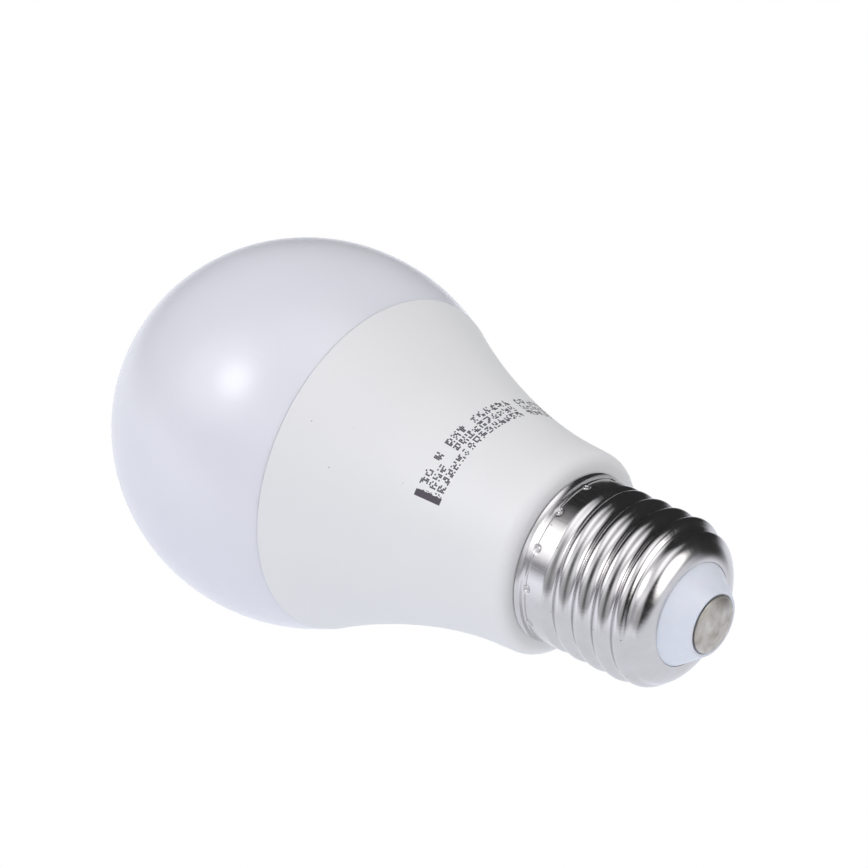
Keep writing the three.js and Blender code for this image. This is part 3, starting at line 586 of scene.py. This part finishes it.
# the finishes inside the bulb: name, two tones, roughness, metallic, grain and bump in millimetres, and how
# much finer the grain is along Z than across it
innerFinishes = {
    # clear neutral-cure silicone, laid as a bead: milky and slick
    "clear_silicone": ("neutral-cure silicone bead", "#e4e4dd", "#efeee9", 0.28, 0, 2.5, 0.05, 1),
    # deep-drawn aluminium: satin, streaked along the draw
    "drawn_aluminium": ("aluminium sheet, deep drawn", "#b6b9be", "#c9cbcf", 0.34, 1, 0.35, 0.012, 0.06),
    # filled silicone sheet, calendered: dull, grainy and blue-grey
    "silicone_pad": ("filled silicone pad, calendered", "#87919f", "#9aa4b1", 0.75, 0, 0.5, 0.02, 1),
    # white solder mask, screen printed: bright, slightly orange-peeled
    "white_solder_mask": ("white solder mask, screen printed", "#ecece6", "#f6f6f2", 0.33, 0, 1.2, 0.01, 1),
    # zinc-plated steel, barrel plated: bluish with cloudy patches
    "zinc_steel": ("zinc-plated steel, barrel plated", "#9fa3ab", "#b9bbbd", 0.3, 1, 0.9, 0.01, 1),
    # tinned copper wire, hot dipped: soft shine with faint drawing lines
    "tinned_copper": ("tinned copper, hot dipped", "#bfbeba", "#d2d1cd", 0.26, 1, 0.4, 0.006, 0.1),
    # unglazed photocell face, fired: warm brown with a fine wandering track
    "sensor_ceramic": ("photocell ceramic, fired", "#a84f2c", "#c07047", 0.45, 0, 0.4, 0.02, 1),
    # natural nylon, moulded: waxy and creamy
    "socket_nylon": ("natural nylon, moulded", "#e2dccb", "#ebe6d8", 0.42, 0, 0.7, 0.008, 1),
    # heat-shrink sleeve, shrunk on: black with fine wrinkles across it
    "black_sleeve": ("polyolefin sleeve, shrunk on", "#191a1c", "#26272a", 0.5, 0, 0.5, 0.03, 3),
    # glass epoxy board with green mask over its weave, about half a millimetre a thread
    "green_board": ("glass-epoxy board, green mask", "#2b6a3e", "#35794a", 0.36, 0, 0.5, 0.012, 1),
    # transfer-moulded epoxy: black, matt, finely gritted
    "black_epoxy": ("black epoxy, transfer moulded", "#1b1b1d", "#28282a", 0.58, 0, 0.25, 0.012, 1),
    # PVC sleeve shrunk over an aluminium can: dark blue and glossy
    "capacitor_sleeve": ("PVC sleeve, shrunk on a can", "#1d2c4e", "#283a60", 0.27, 0, 1.4, 0.015, 0.4),
    # boxed film capacitor, moulded polyester: ochre
    "film_box": ("polyester capacitor box, moulded", "#bf9d33", "#cfae45", 0.38, 0, 0.8, 0.008, 1),
    # sintered ferrite, ground: dark grey, dry
    "ferrite": ("ferrite, sintered and ground", "#333435", "#424344", 0.66, 0, 0.3, 0.02, 1),
    # polyester tape wound over copper: yellow, smooth, with the laps showing about every 1.5 mm
    "winding_tape": ("polyester tape, wound", "#d0a937", "#e0bd52", 0.3, 0, 1.5, 0.03, 4),
    # dipped epoxy lacquer: blue, thick and uneven
    "blue_lacquer": ("blue epoxy lacquer, dipped", "#26589f", "#336ab2", 0.32, 0, 1.6, 0.05, 1),
    # fireproof lacquer, dipped: green and dull
    "green_lacquer": ("green fireproof lacquer, dipped", "#487f54", "#589064", 0.6, 0, 0.8, 0.03, 1),
    # PVC wire insulation, extruded: slick, faintly ribbed across its length
    "red_insulation": ("red PVC, extruded", "#ae2c26", "#c23a31", 0.36, 0, 0.6, 0.01, 1),
    "white_insulation": ("white PVC, extruded", "#dedddb", "#eae9e7", 0.36, 0, 0.6, 0.01, 1),
}


def makeInnerFinish(name, dark, light, roughness, metallic, grain, relief, alongZ):
    material, tree, shader, place = startMaterial(name, light, roughness, Metallic=float(metallic))
    spots = addNode(tree, "ShaderNodeMapping", None, {"Vector": place, "Scale": (1, 1, alongZ)})
    broad = addNode(tree, "ShaderNodeTexNoise", None, {
        "Vector": spots, "Scale": 0.25 / grain, "Detail": 4.0, "Roughness": 0.6})
    fine = addNode(tree, "ShaderNodeTexNoise", None, {"Vector": spots, "Scale": 1 / grain, "Detail": 5.0})
    tone = addNode(tree, "ShaderNodeMapRange", None, {"Value": broad, "From Min": 0.35, "From Max": 0.65})
    tint = addNode(
        tree, "ShaderNodeMix", {"data_type": "RGBA"}, {0: tone, 6: toLinear(dark), 7: toLinear(light)})
    tree.links.new(tint.outputs[2], shader.inputs["Base Color"])
    rough = addNode(tree, "ShaderNodeMapRange", None, {
        "Value": fine, "From Min": 0.3, "From Max": 0.7,
        "To Min": roughness * 0.85, "To Max": roughness * 1.2})
    tree.links.new(rough.outputs[0], shader.inputs["Roughness"])
    bump = addNode(tree, "ShaderNodeBump", None, {"Height": fine, "Strength": 0.5, "Distance": relief * mm})
    tree.links.new(bump.outputs[0], shader.inputs["Normal"])
    return material


innerFinish = {slot: makeInnerFinish(*finish) for slot, finish in innerFinishes.items()}
opal = opalPolycarbonate()
pbt = whitePbt()
nickel = nickelPlate()
resin = insulatorResin()
contactMetal = contactNickel()
print("materials made")


globe = {
    "depth": 32.1,  # from the equator to the pole
    "wall": 1.6,
    "seamGap": 0.16,  # the dark line at the housing
    "edgeRound": 0.35,
    "innerStep": 2.2,  # from the shoulder down to where the inner curve starts
    "spigotInset": 2.8,
    "spigotWall": 1.0,
    "segments": 224,
}


def buildGlobe():
    widest = globeHigh.x
    equatorZ = globeLow.z + globe["depth"]
    topZ = seamZ - globe["seamGap"]
    seamDegrees = math.degrees(math.asin((topZ - equatorZ) / globe["depth"]))
    outer = ellipseArc(0, equatorZ, widest, globe["depth"], -90, seamDegrees, 96)
    outer[0] = (0, outer[0][1])
    seamRadius = outer[-1][0]
    spigot = seamRadius - globe["spigotInset"]
    bore = spigot - globe["spigotWall"]
    shoulder = [
        (outer[-2][0], outer[-2][1], 0),
        (seamRadius, topZ, globe["edgeRound"]),
        (spigot, topZ, 0.1),
        (spigot, globeHigh.z, 0.3),
        (bore, globeHigh.z, 0.3),
        (bore, topZ - 0.6, 0.4),
        (bore + 1.0, topZ - 2.0, 0),
    ]
    wall = globe["wall"]
    startZ = topZ - globe["innerStep"]
    startDegrees = math.degrees(math.asin((startZ - equatorZ) / (globe["depth"] - wall)))
    inner = ellipseArc(0, equatorZ, widest - wall, globe["depth"] - wall, startDegrees, -90, 64)
    inner[-1] = (0, inner[-1][1])
    outline = outer[:-2] + roundedOutline(shoulder, False) + inner
    piece = revolve("diffuserGlobe", outline, globe["segments"], False)
    smoothOff(piece)
    return finishPiece(piece, opal, "opal_plastic", "diffuser_globe")


buildGlobe()
print("globe made")


housing = {
    "collarRadius": 16.3,
    "collarHeight": 4.4,
    "collarDrop": 0.3,  # from the screw shell's rim to the top of the collar
    "collarDraft": 0.25,
    "collarRound": 2.1,
    "collarFoot": 1.5,
    "waist": (16.87, 16.84),  # handles of the flare: radius, and distance below the collar or above the seam
    "flare": (26.95, 0.12),
    "rimRadius": 27.1,  # slimmer than the frame's, whose flare is fuller
    "rimRound": 0.4,
    "rimOvershoot": 0.1,  # the rim comes nearer the globe than the frame's faceted one
    "flash": 0.03,  # unevenness of the moulded edge
    "flashScale": 900,  # waves per metre
    "neckRadius": 12.4,
    "neckTip": 11.6,
    "neckBore": 10.4,
    "neckStep": 4.2,
    "wall": 0.9,
    "rebate": 24.6,
    "rebateDepth": 2.9,
    "curveSteps": 90,
    "segments": 256,
}


def housingCurve(steps):
    topZ = rimZ - housing["collarDrop"] - housing["collarHeight"]
    points = [
        Vector((housing["collarRadius"], topZ)),
        Vector((housing["waist"][0], topZ - housing["waist"][1])),
        Vector((housing["flare"][0], seamZ + housing["flare"][1])),
        Vector((housing["rimRadius"], seamZ)),
    ]
    curve = []
    for i in range(steps + 1):
        t = i / steps
        curve.append(
            points[0] * (1 - t) ** 3 + points[1] * 3 * (1 - t) ** 2 * t
            + points[2] * 3 * (1 - t) * t ** 2 + points[3] * t ** 3)
    return curve


def buildHousing():
    curve = [p for p in housingCurve(housing["curveSteps"]) if p.y > seamZ + housing["flare"][1]]
    rim = housing["rimRadius"]
    footZ = seamZ - housing["rimOvershoot"]
    collarTop = rimZ - housing["collarDrop"]
    inside = []
    for before, here, after in zip(curve, curve[1:], curve[2:]):
        along = (after - before).normalized()
        inside.append((here.x + along.y * housing["wall"], here.y - along.x * housing["wall"], 0))
    rebateZ = seamZ + housing["rebateDepth"]
    inside = [p for p in inside if rebateZ < p[1] < curve[0].y - 1]
    corners = [
        (housing["rebate"], footZ, 0.15),
        (rim, footZ, housing["rimRound"]),
        *[(p.x, p.y, 0) for p in reversed(curve[1:])],
        (housing["collarRadius"], curve[0].y, housing["collarFoot"]),
        (housing["collarRadius"] - housing["collarDraft"], collarTop, housing["collarRound"]),
        (housing["neckRadius"], collarTop, 0.2),
        (housing["neckRadius"], collarTop + housing["neckStep"], 0.3),
        (housing["neckTip"], collarTop + housing["neckStep"] + 0.3, 0.2),
        (housing["neckTip"], housingHigh.z, 0.3),
        (housing["neckBore"], housingHigh.z, 0.3),
        (housing["neckBore"], curve[0].y + 1, 0.5),
        *inside,
        (housing["rebate"], rebateZ, 0.1),
    ]
    piece = revolve("housing", roundedOutline(corners, True), housing["segments"], True)
    for vertex in piece.data.vertices:
        if vertex.co.z < (seamZ + 0.1) * mm:
            vertex.co.z += noise.noise(vertex.co * housing["flashScale"]) * housing["flash"] * mm
    smoothOff(piece)
    return finishPiece(piece, pbt, "white_plastic", "housing_shell")


buildHousing()


sealant = {
    "rimStep": 0.8,  # between the frame's rim and the shoulder of the globe
    "width": 0.9,
    "start": 0.06,  # above the end of the globe's spigot
    "height": 0.75,
    "unevenness": 0.1,
    "unevenScale": 260,  # waves per metre
    "segments": 160,
}


def buildSealant():
    outer = housingHigh.x - sealant["rimStep"] - globe["spigotInset"]
    inner = outer - sealant["width"]
    bottom = globeHigh.z + sealant["start"]
    top = globeHigh.z + sealant["height"]
    corners = [(inner, bottom, 0.15), (outer, bottom, 0.1), (outer, top, 0.35), (inner, top - 0.1, 0.3)]
    piece = revolve("globeSealant", roundedOutline(corners, True), sealant["segments"], True)
    for vertex in piece.data.vertices:  # a bead laid by hand is never even
        vertex.co.z += noise.noise(vertex.co * sealant["unevenScale"]) * sealant["unevenness"] * mm
    smoothOff(piece)
    return finishPiece(piece, innerFinish["clear_silicone"], "clear_silicone", "globe_sealant")


buildSealant()
print("housing and sealant made")


screwShell = {
    "crestRadius": 13.15,
    "skirtRadius": 13.05,
    "flare": 0.3,
    "flareLength": 0.9,
    "endRadius": 8.1,
    "shoulderHeight": 5.5,
    "skirtLength": 4.7,
    "sheet": 0.3,
    "pitch": 3.629,
    "depth": 0.9,
    "crestOffset": 1.2,  # the last crest below the shoulder, on the +X side
    "fadeIn": 1.5,
    "fullThread": 3.3,  # below the end of the shell, where the thread starts to fade into the shoulder
    "fadeOut": 1.0,
    "grooveRise": 1.7,  # the scribed line above the rim
    "grooveWidth": 0.15,
    "grooveDepth": 0.1,
    "stakes": 13,
    "stakeStart": -85.2,
    "stakeRise": 0.3,  # above the scribed line
    "dentRadius": 0.7,
    "dentDepth": 0.14,
    "ringSink": 0.13,  # how far the punched rings sit in their dents
    "flareRows": 8,
    "skirtRows": 20,
    "threadRows": 78,
    "shoulderRows": 34,
    "segments": 320,
}


def plainSheet():
    shell = screwShell
    shoulderZ = shellHigh.z - shell["shoulderHeight"]
    threadZ = rimZ + shell["skirtLength"]
    outline = [(shell["skirtRadius"] + shell["flare"], rimZ)]
    for i in range(1, shell["flareRows"] + 1):
        t = i / shell["flareRows"]
        radius = shell["skirtRadius"] + shell["flare"] * (1 - t) ** 2
        outline.append((radius, rimZ + shell["flareLength"] * t))
    skirtZ = rimZ + shell["flareLength"]
    for i in range(1, shell["skirtRows"] + 1):
        outline.append((shell["skirtRadius"], skirtZ + (threadZ - skirtZ) * i / shell["skirtRows"]))
    for i in range(1, shell["threadRows"] + 1):
        t = i / shell["threadRows"]
        radius = shell["skirtRadius"] + (shell["crestRadius"] - shell["skirtRadius"]) * min(1, 3 * t)
        outline.append((radius, threadZ + (shoulderZ - threadZ) * t))
    width = shell["crestRadius"] - shell["endRadius"]
    outline += ellipseArc(
        shell["endRadius"], shoulderZ, width, shell["shoulderHeight"], 0, 90, shell["shoulderRows"])[1:]
    segments = shell["segments"]
    vertices = []
    for radius, z in outline:
        for k in range(segments):
            angle = 2 * math.pi * k / segments
            vertices.append((radius * math.cos(angle) * mm, radius * math.sin(angle) * mm, z * mm))
    faces = []
    for row in range(len(outline) - 1):
        for k in range(segments):
            right = (k + 1) % segments
            faces.append((
                row * segments + k, row * segments + right,
                (row + 1) * segments + right, (row + 1) * segments + k))
    return meshObject("screwShell", vertices, faces)


# rolls the thread, the scribed line and the dents of the staking marks into a plain turned sheet
def threadRoller():
    shell = screwShell
    tree = bpy.data.node_groups.new("thread roller", "GeometryNodeTree")
    sizes = {
        "Pitch": shell["pitch"],
        "Depth": shell["depth"],
        "Crest level": shellHigh.z - shell["shoulderHeight"] - shell["crestOffset"],
        "Thread start": rimZ + shell["skirtLength"],
        "Fade in": shell["fadeIn"],
        "Shoulder": shellHigh.z - shell["fullThread"],
        "Fade end": shellHigh.z - shell["fadeOut"],
        "Groove level": rimZ + shell["grooveRise"],
        "Groove width": shell["grooveWidth"],
        "Groove depth": shell["grooveDepth"],
        "Skirt radius": shell["skirtRadius"],
        "Stakes": float(shell["stakes"]),
        "Stake start": math.radians(shell["stakeStart"]),
        "Stake rise": shell["stakeRise"],
        "Dent radius": shell["dentRadius"],
        "Dent depth": shell["dentDepth"],
    }
    tree.interface.new_socket("Geometry", in_out="INPUT", socket_type="NodeSocketGeometry")
    tree.interface.new_socket("Geometry", in_out="OUTPUT", socket_type="NodeSocketGeometry")
    tree.interface.new_socket("Material", in_out="INPUT", socket_type="NodeSocketMaterial")
    for name, size in sizes.items():
        socket = tree.interface.new_socket(name, in_out="INPUT", socket_type="NodeSocketFloat")
        socket.default_value = size
    given = addNode(tree, "NodeGroupInput").outputs
    value = {name: given[name] for name in sizes}
    spot = addNode(tree, "GeometryNodeInputPosition")
    inMm = addNode(tree, "ShaderNodeVectorMath", {"operation": "SCALE"}, {0: spot, "Scale": 1 / mm})
    value["x"], value["y"], value["z"] = addNode(tree, "ShaderNodeSeparateXYZ", None, {0: inMm}).outputs

    placeSteps = [
        # distance along the axis from the nearest crest
        ("angle", "ARCTAN2", "y", "x"),
        ("turn", "DIVIDE", "angle", 2 * math.pi),
        ("crest", "MULTIPLY_ADD", "turn", "Pitch", "Crest level"),
        ("aboveCrest", "SUBTRACT", "z", "crest"),
        ("halfPitch", "MULTIPLY", "Pitch", 0.5),
        ("fromCrest", "PINGPONG", "aboveCrest", "halfPitch"),
        ("fromRoot", "SUBTRACT", "halfPitch", "fromCrest"),
        # crest and root arcs that meet halfway down the flank
        ("quarter", "MULTIPLY", "Pitch", 0.25),
        ("halfDepth", "MULTIPLY", "Depth", 0.5),
        ("quarter2", "POWER", "quarter", 2.0),
        ("halfDepth2", "POWER", "halfDepth", 2.0),
        ("squares", "ADD", "quarter2", "halfDepth2"),
        ("arc", "DIVIDE", "squares", "Depth"),
        ("arc2", "POWER", "arc", 2.0),
        ("nearest", "MINIMUM", "fromCrest", "fromRoot"),
        ("nearest2", "POWER", "nearest", 2.0),
        ("height2", "SUBTRACT", "arc2", "nearest2"),
        ("height", "SQRT", "height2"),
        ("sag", "SUBTRACT", "arc", "height"),
        ("rootLift", "SUBTRACT", "sag", "Depth"),
        ("crestLift", "MULTIPLY", "sag", -1.0),
        ("onCrest", "LESS_THAN", "fromCrest", "quarter"),
        ("threadFull", "ADD", "Thread start", "Fade in"),
        # distance from the scribed line, and from the middle of the nearest staking mark
        ("aboveGroove", "SUBTRACT", "z", "Groove level"),
        ("fromGroove", "ABSOLUTE", "aboveGroove"),
        ("halfStep", "DIVIDE", math.pi, "Stakes"),
        ("around", "SUBTRACT", "angle", "Stake start"),
        ("sideways", "PINGPONG", "around", "halfStep"),
        ("sidewaysMm", "MULTIPLY", "sideways", "Skirt radius"),
        ("upMm", "SUBTRACT", "aboveGroove", "Stake rise"),
        ("sideways2", "POWER", "sidewaysMm", 2.0),
        ("up2", "POWER", "upMm", 2.0),
        ("reach2", "ADD", "sideways2", "up2"),
        ("reach", "SQRT", "reach2"),
        ("dentFloor", "MULTIPLY", "Dent radius", 0.5),
    ]
    for name, operation, *terms in placeSteps:
        inputs = {i: value.get(term, term) for i, term in enumerate(terms)}
        value[name] = addNode(tree, "ShaderNodeMath", {"operation": operation}, inputs)
    value["section"] = addNode(tree, "ShaderNodeMix", {"data_type": "FLOAT"}, {
        0: value["onCrest"], 2: value["rootLift"], 3: value["crestLift"]})
    slopes = {
        "runIn": ("z", "Thread start", "threadFull", 0.0, 1.0),
        "runOut": ("z", "Shoulder", "Fade end", 1.0, 0.0),
        "groove": ("fromGroove", 0.0, "Groove width", "Groove depth", 0.0),
        "dent": ("reach", "dentFloor", "Dent radius", "Dent depth", 0.0),
    }
    for name, terms in slopes.items():
        sockets = zip(("Value", "From Min", "From Max", "To Min", "To Max"), terms)
        inputs = {socket: value.get(term, term) for socket, term in sockets}
        value[name] = addNode(tree, "ShaderNodeMapRange", {"interpolation_type": "SMOOTHSTEP"}, inputs)
    liftSteps = [
        ("strength", "MULTIPLY", "runIn", "runOut"),
        ("thread", "MULTIPLY", "section", "strength"),
        ("scribed", "SUBTRACT", "thread", "groove"),
        ("lift", "SUBTRACT", "scribed", "dent"),
        ("liftMetres", "MULTIPLY", "lift", mm),
    ]
    for name, operation, *terms in liftSteps:
        inputs = {i: value.get(term, term) for i, term in enumerate(terms)}
        value[name] = addNode(tree, "ShaderNodeMath", {"operation": operation}, inputs)
    normal = addNode(tree, "GeometryNodeInputNormal")
    push = addNode(
        tree, "ShaderNodeVectorMath", {"operation": "SCALE"}, {0: normal, "Scale": value["liftMetres"]})
    rolled = addNode(tree, "GeometryNodeSetPosition", None, {"Geometry": given["Geometry"], "Offset": push})
    whole = addNode(tree, "GeometryNodeRealizeInstances", None, {"Geometry": rolled})
    faced = addNode(
        tree, "GeometryNodeSetMaterial", None, {"Geometry": whole, "Material": given["Material"]})
    addNode(tree, "NodeGroupOutput", None, {"Geometry": faced})
    return tree


# gives a piece a node modifier, with its inputs set by their sockets' identifiers
def applyTree(piece, tree, values):
    modifier = piece.modifiers.new("nodes", "NODES")
    modifier.node_group = tree
    for item in tree.interface.items_tree:
        if item.in_out == "INPUT" and item.name in values:
            modifier[item.identifier] = values[item.name]


# turns what the modifiers make into the piece's own mesh
def makePlain(piece):
    graph = bpy.context.evaluated_depsgraph_get()
    mesh = bpy.data.meshes.new_from_object(piece.evaluated_get(graph))
    piece.modifiers.clear()
    piece.data = mesh


def buildScrewShell():
    piece = plainSheet()
    applyTree(piece, threadRoller(), {"Material": nickel})
    wall = piece.modifiers.new("sheet", "SOLIDIFY")
    wall.thickness = screwShell["sheet"] * mm
    wall.offset = -1
    makePlain(piece)
    smoothOff(piece, 50)
    return finishPiece(piece, nickel, "nickel_plate", "screw_shell")


# one punched ring: a raised rim round a small raised middle
stakingRing = {
    # (radius, height) from the middle outwards
    "outline": [
        (0, 0.09), (0.1, 0.085), (0.17, 0.02), (0.24, 0.0), (0.31, 0.05),
        (0.37, 0.13), (0.43, 0.145), (0.49, 0.11), (0.56, 0.0), (0.6, -0.12),
    ],
    "segments": 28,
    "sharpDegrees": 80,
}


def punchedRing():
    ring = revolve("punchedRing", stakingRing["outline"], stakingRing["segments"], False)
    ring.data.flip_normals()
    smoothOff(ring, stakingRing["sharpDegrees"])
    return ring


# stands the punched ring in each dent round the skirt
def stakeTree(ring):
    tree = bpy.data.node_groups.new("staking marks", "GeometryNodeTree")
    tree.interface.new_socket("Geometry", in_out="INPUT", socket_type="NodeSocketGeometry")
    tree.interface.new_socket("Geometry", in_out="OUTPUT", socket_type="NodeSocketGeometry")
    tree.interface.new_socket("Count", in_out="INPUT", socket_type="NodeSocketInt")
    for name in ("Radius", "Level", "Start"):
        tree.interface.new_socket(name, in_out="INPUT", socket_type="NodeSocketFloat")
    tree.interface.new_socket("Material", in_out="INPUT", socket_type="NodeSocketMaterial")
    given = addNode(tree, "NodeGroupInput").outputs
    circle = addNode(
        tree, "GeometryNodeMeshCircle", None, {"Vertices": given["Count"], "Radius": given["Radius"]})
    lifted = addNode(tree, "ShaderNodeCombineXYZ", None, {2: given["Level"]})
    turn = addNode(tree, "ShaderNodeCombineXYZ", None, {2: given["Start"]})
    placed = addNode(tree, "GeometryNodeTransform", None, {
        "Geometry": circle, "Translation": lifted, "Rotation": turn})
    spot = addNode(tree, "GeometryNodeInputPosition")
    outward = addNode(
        tree, "ShaderNodeVectorMath", {"operation": "MULTIPLY"}, {0: spot, 1: (1.0, 1.0, 0.0)})
    facing = addNode(tree, "FunctionNodeAlignRotationToVector", {"axis": "Z"}, {"Vector": outward})
    shape = addNode(tree, "GeometryNodeObjectInfo", None, {"Object": ring})
    rings = addNode(tree, "GeometryNodeInstanceOnPoints", None, {
        "Points": placed, "Instance": shape.outputs["Geometry"], "Rotation": facing})
    whole = addNode(tree, "GeometryNodeRealizeInstances", None, {"Geometry": rings})
    faced = addNode(
        tree, "GeometryNodeSetMaterial", None, {"Geometry": whole, "Material": given["Material"]})
    addNode(tree, "NodeGroupOutput", None, {"Geometry": faced})
    return tree


def buildStakes():
    ring = punchedRing()
    piece = meshObject("stakingMarks", [(0, 0, 0)], [])
    level = (rimZ + screwShell["grooveRise"] + screwShell["stakeRise"]) * mm
    applyTree(piece, stakeTree(ring), {
        "Count": screwShell["stakes"],
        "Radius": (screwShell["skirtRadius"] - screwShell["ringSink"]) * mm,
        "Level": level,
        "Start": math.radians(screwShell["stakeStart"]),
        "Material": nickel,
    })
    makePlain(piece)
    bpy.data.objects.remove(ring)
    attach(piece, "root")
    return piece


buildScrewShell()
buildStakes()
print("screw shell made")


insulator = {
    "seatDrop": 1.1,  # the contact's seat below its top
    "coneRadius": 8.04,
    "coneTop": 5.15,
    "coneRise": 0.3,
    "lipInner": 4.62,
    "lipRise": 0.35,
    "bore": 1.5,
    "boss": 1.6,  # wall round the bore, and the floor under the seat
    "flangeDrop": 0.95,  # below the end of the screw shell
    "flangeWidth": 1.4,
    "flangeRoot": 0.8,
    "segments": 160,
}


def buildInsulator():
    seat = contactHigh.z - insulator["seatDrop"]
    flange = insulatorHigh.x
    flangeInner = flange - insulator["flangeWidth"]
    bottom = insulatorLow.z
    baseZ = shellHigh.z - insulator["flangeDrop"]
    boss = insulator["bore"] + insulator["boss"]
    lipTop = seat + insulator["lipRise"]
    corners = [
        (insulator["bore"], seat, 0.1),
        (insulator["bore"], bottom, 0.2),
        (boss, bottom, 0.3),
        (boss, seat - insulator["boss"], 0.3),
        (flangeInner - insulator["flangeRoot"], baseZ, 0.3),
        (flangeInner, bottom, 0.2),
        (flange, bottom, 0.3),
        (flange, baseZ, 0.3),
        (insulator["coneRadius"], baseZ, 0.1),
        (insulator["coneRadius"], shellHigh.z - 0.04, 0.03),
        (insulator["coneTop"], seat + insulator["coneRise"], 0.25),
        (insulator["coneTop"] - 0.12, lipTop + 0.08, 0.12),
        (insulator["lipInner"], lipTop, 0.08),
        (insulator["lipInner"], seat, 0.05),
    ]
    piece = revolve("capInsulator", roundedOutline(corners, True), insulator["segments"], True)
    smoothOff(piece)
    return finishPiece(piece, resin, "insulator_plastic", "cap_insulator")


contact = {
    "flat": 1.5,
    "edge": 0.35,
    "dome": 0.45,
    "shank": 1.2,
    "faceRings": 24,
    "segments": 160,
}


def buildContact():
    radius = contactHigh.x
    flat = contact["flat"]
    dome = contact["dome"]
    under = -dome - contact["edge"]
    rings = contact["faceRings"]
    domed = radius - 0.15 - flat
    face = [(flat + domed * i / rings, -dome * (i / rings) ** 2, 0) for i in range(rings + 1)]
    corners = [
        (0, contactLow.z, 0),
        (contact["shank"], contactLow.z, 0.4),
        (contact["shank"], under, 0.15),
        (radius, under, 0.1),
        (radius, -dome - 0.02, 0.12),
        *reversed(face),
        (0, 0, 0),
    ]
    piece = revolve("centreContact", roundedOutline(corners, False), contact["segments"], False)
    smoothOff(piece)
    return finishPiece(piece, contactMetal, "contact_nickel", "centre_contact")


buildInsulator()
buildContact()
print("insulator and contact made")


# light-emitting packages: a white moulded body round a window of yellow phosphor gel
ledPackage = {
    "count": 12,
    "window": 1.05,
    "windowEdge": 0.12,
    "body": "#e9e7df",
    "phosphor": "#efc94f",
    "phosphorEdge": "#dca93a",
}


def ledFinish():
    window = ledPackage["window"]
    material, tree, shader, place = startMaterial(
        "phosphor gel in a white package", ledPackage["phosphor"], 0.3)
    low, high = boxMm("led_01")
    middle = (low + high) / 2
    ringRadius = Vector((middle.x, middle.y)).length
    x, y, z = addNode(tree, "ShaderNodeSeparateXYZ", None, {0: place}).outputs
    value = {"x": x, "y": y}
    steps = [
        ("angle", "ARCTAN2", "y", "x"),
        ("around", "SUBTRACT", "angle", math.atan2(middle.y, middle.x)),
        ("fromNearest", "PINGPONG", "around", math.pi / ledPackage["count"]),
        ("sideways", "MULTIPLY", "fromNearest", ringRadius),
        ("x2", "POWER", "x", 2.0),
        ("y2", "POWER", "y", 2.0),
        ("radius2", "ADD", "x2", "y2"),
        ("radius", "SQRT", "radius2"),
        ("outward", "SUBTRACT", "radius", ringRadius),
        ("sideways2", "POWER", "sideways", 2.0),
        ("outward2", "POWER", "outward", 2.0),
        ("reach2", "ADD", "sideways2", "outward2"),
        ("reach", "SQRT", "reach2"),
        ("share", "DIVIDE", "reach", window),
    ]
    for name, operation, *terms in steps:
        inputs = {i: value.get(term, term) for i, term in enumerate(terms)}
        value[name] = addNode(tree, "ShaderNodeMath", {"operation": operation}, inputs)
    ramp = addNode(tree, "ShaderNodeValToRGB", None, {"Fac": value["share"]})
    ramp.color_ramp.elements[0].position = 0.7
    ramp.color_ramp.elements[0].color = toLinear(ledPackage["phosphor"])
    ramp.color_ramp.elements[1].position = 0.95
    ramp.color_ramp.elements[1].color = toLinear(ledPackage["phosphorEdge"])
    body = ramp.color_ramp.elements.new(0.995)
    body.color = toLinear(ledPackage["body"])
    tree.links.new(ramp.outputs[0], shader.inputs["Base Color"])
    gel = addNode(tree, "ShaderNodeMapRange", None, {
        "Value": value["reach"], "From Min": window - ledPackage["windowEdge"], "From Max": window,
        "To Min": 0.12, "To Max": 0.42})
    tree.links.new(gel.outputs[0], shader.inputs["Roughness"])
    return material


# the pieces still shown from the frame, by the finish that they take
carriedOver = {
    "zinc_steel": ("board_screw_1", "board_screw_2", "board_screw_3"),
    "socket_nylon": ("board_socket",),
    "black_epoxy": ("bridge_rectifier", "driver_chip", "sensor_chip", "output_diode"),
    "green_board": ("driver_board",),
    "film_box": ("film_capacitor",),
    "ferrite": ("filter_choke", "transformer_core"),
    "green_lacquer": ("fuse_resistor",),
    "drawn_aluminium": ("heat_sink_cup",),
    "capacitor_sleeve": ("input_capacitor", "output_capacitor"),
    "white_solder_mask": ("led_board",),
    "sensor_ceramic": ("light_sensor",),
    "red_insulation": ("live_wire",),
    "white_insulation": ("neutral_wire",),
    "tinned_copper": ("output_pin_1", "output_pin_2", "sensor_lead_1", "sensor_lead_2"),
    "black_sleeve": ("sensor_sleeve",),
    "silicone_pad": ("thermal_pad",),
    "winding_tape": ("transformer_winding",),
    "blue_lacquer": ("varistor",),
}
for slot, nodes in carriedOver.items():
    for node in nodes:
        bpy.data.objects[node].material_slots[0].material = innerFinish[slot]
phosphor = ledFinish()
for number in range(1, ledPackage["count"] + 1):
    bpy.data.objects[f"led_{number:02d}"].material_slots[0].material = phosphor
print("inner pieces finished")
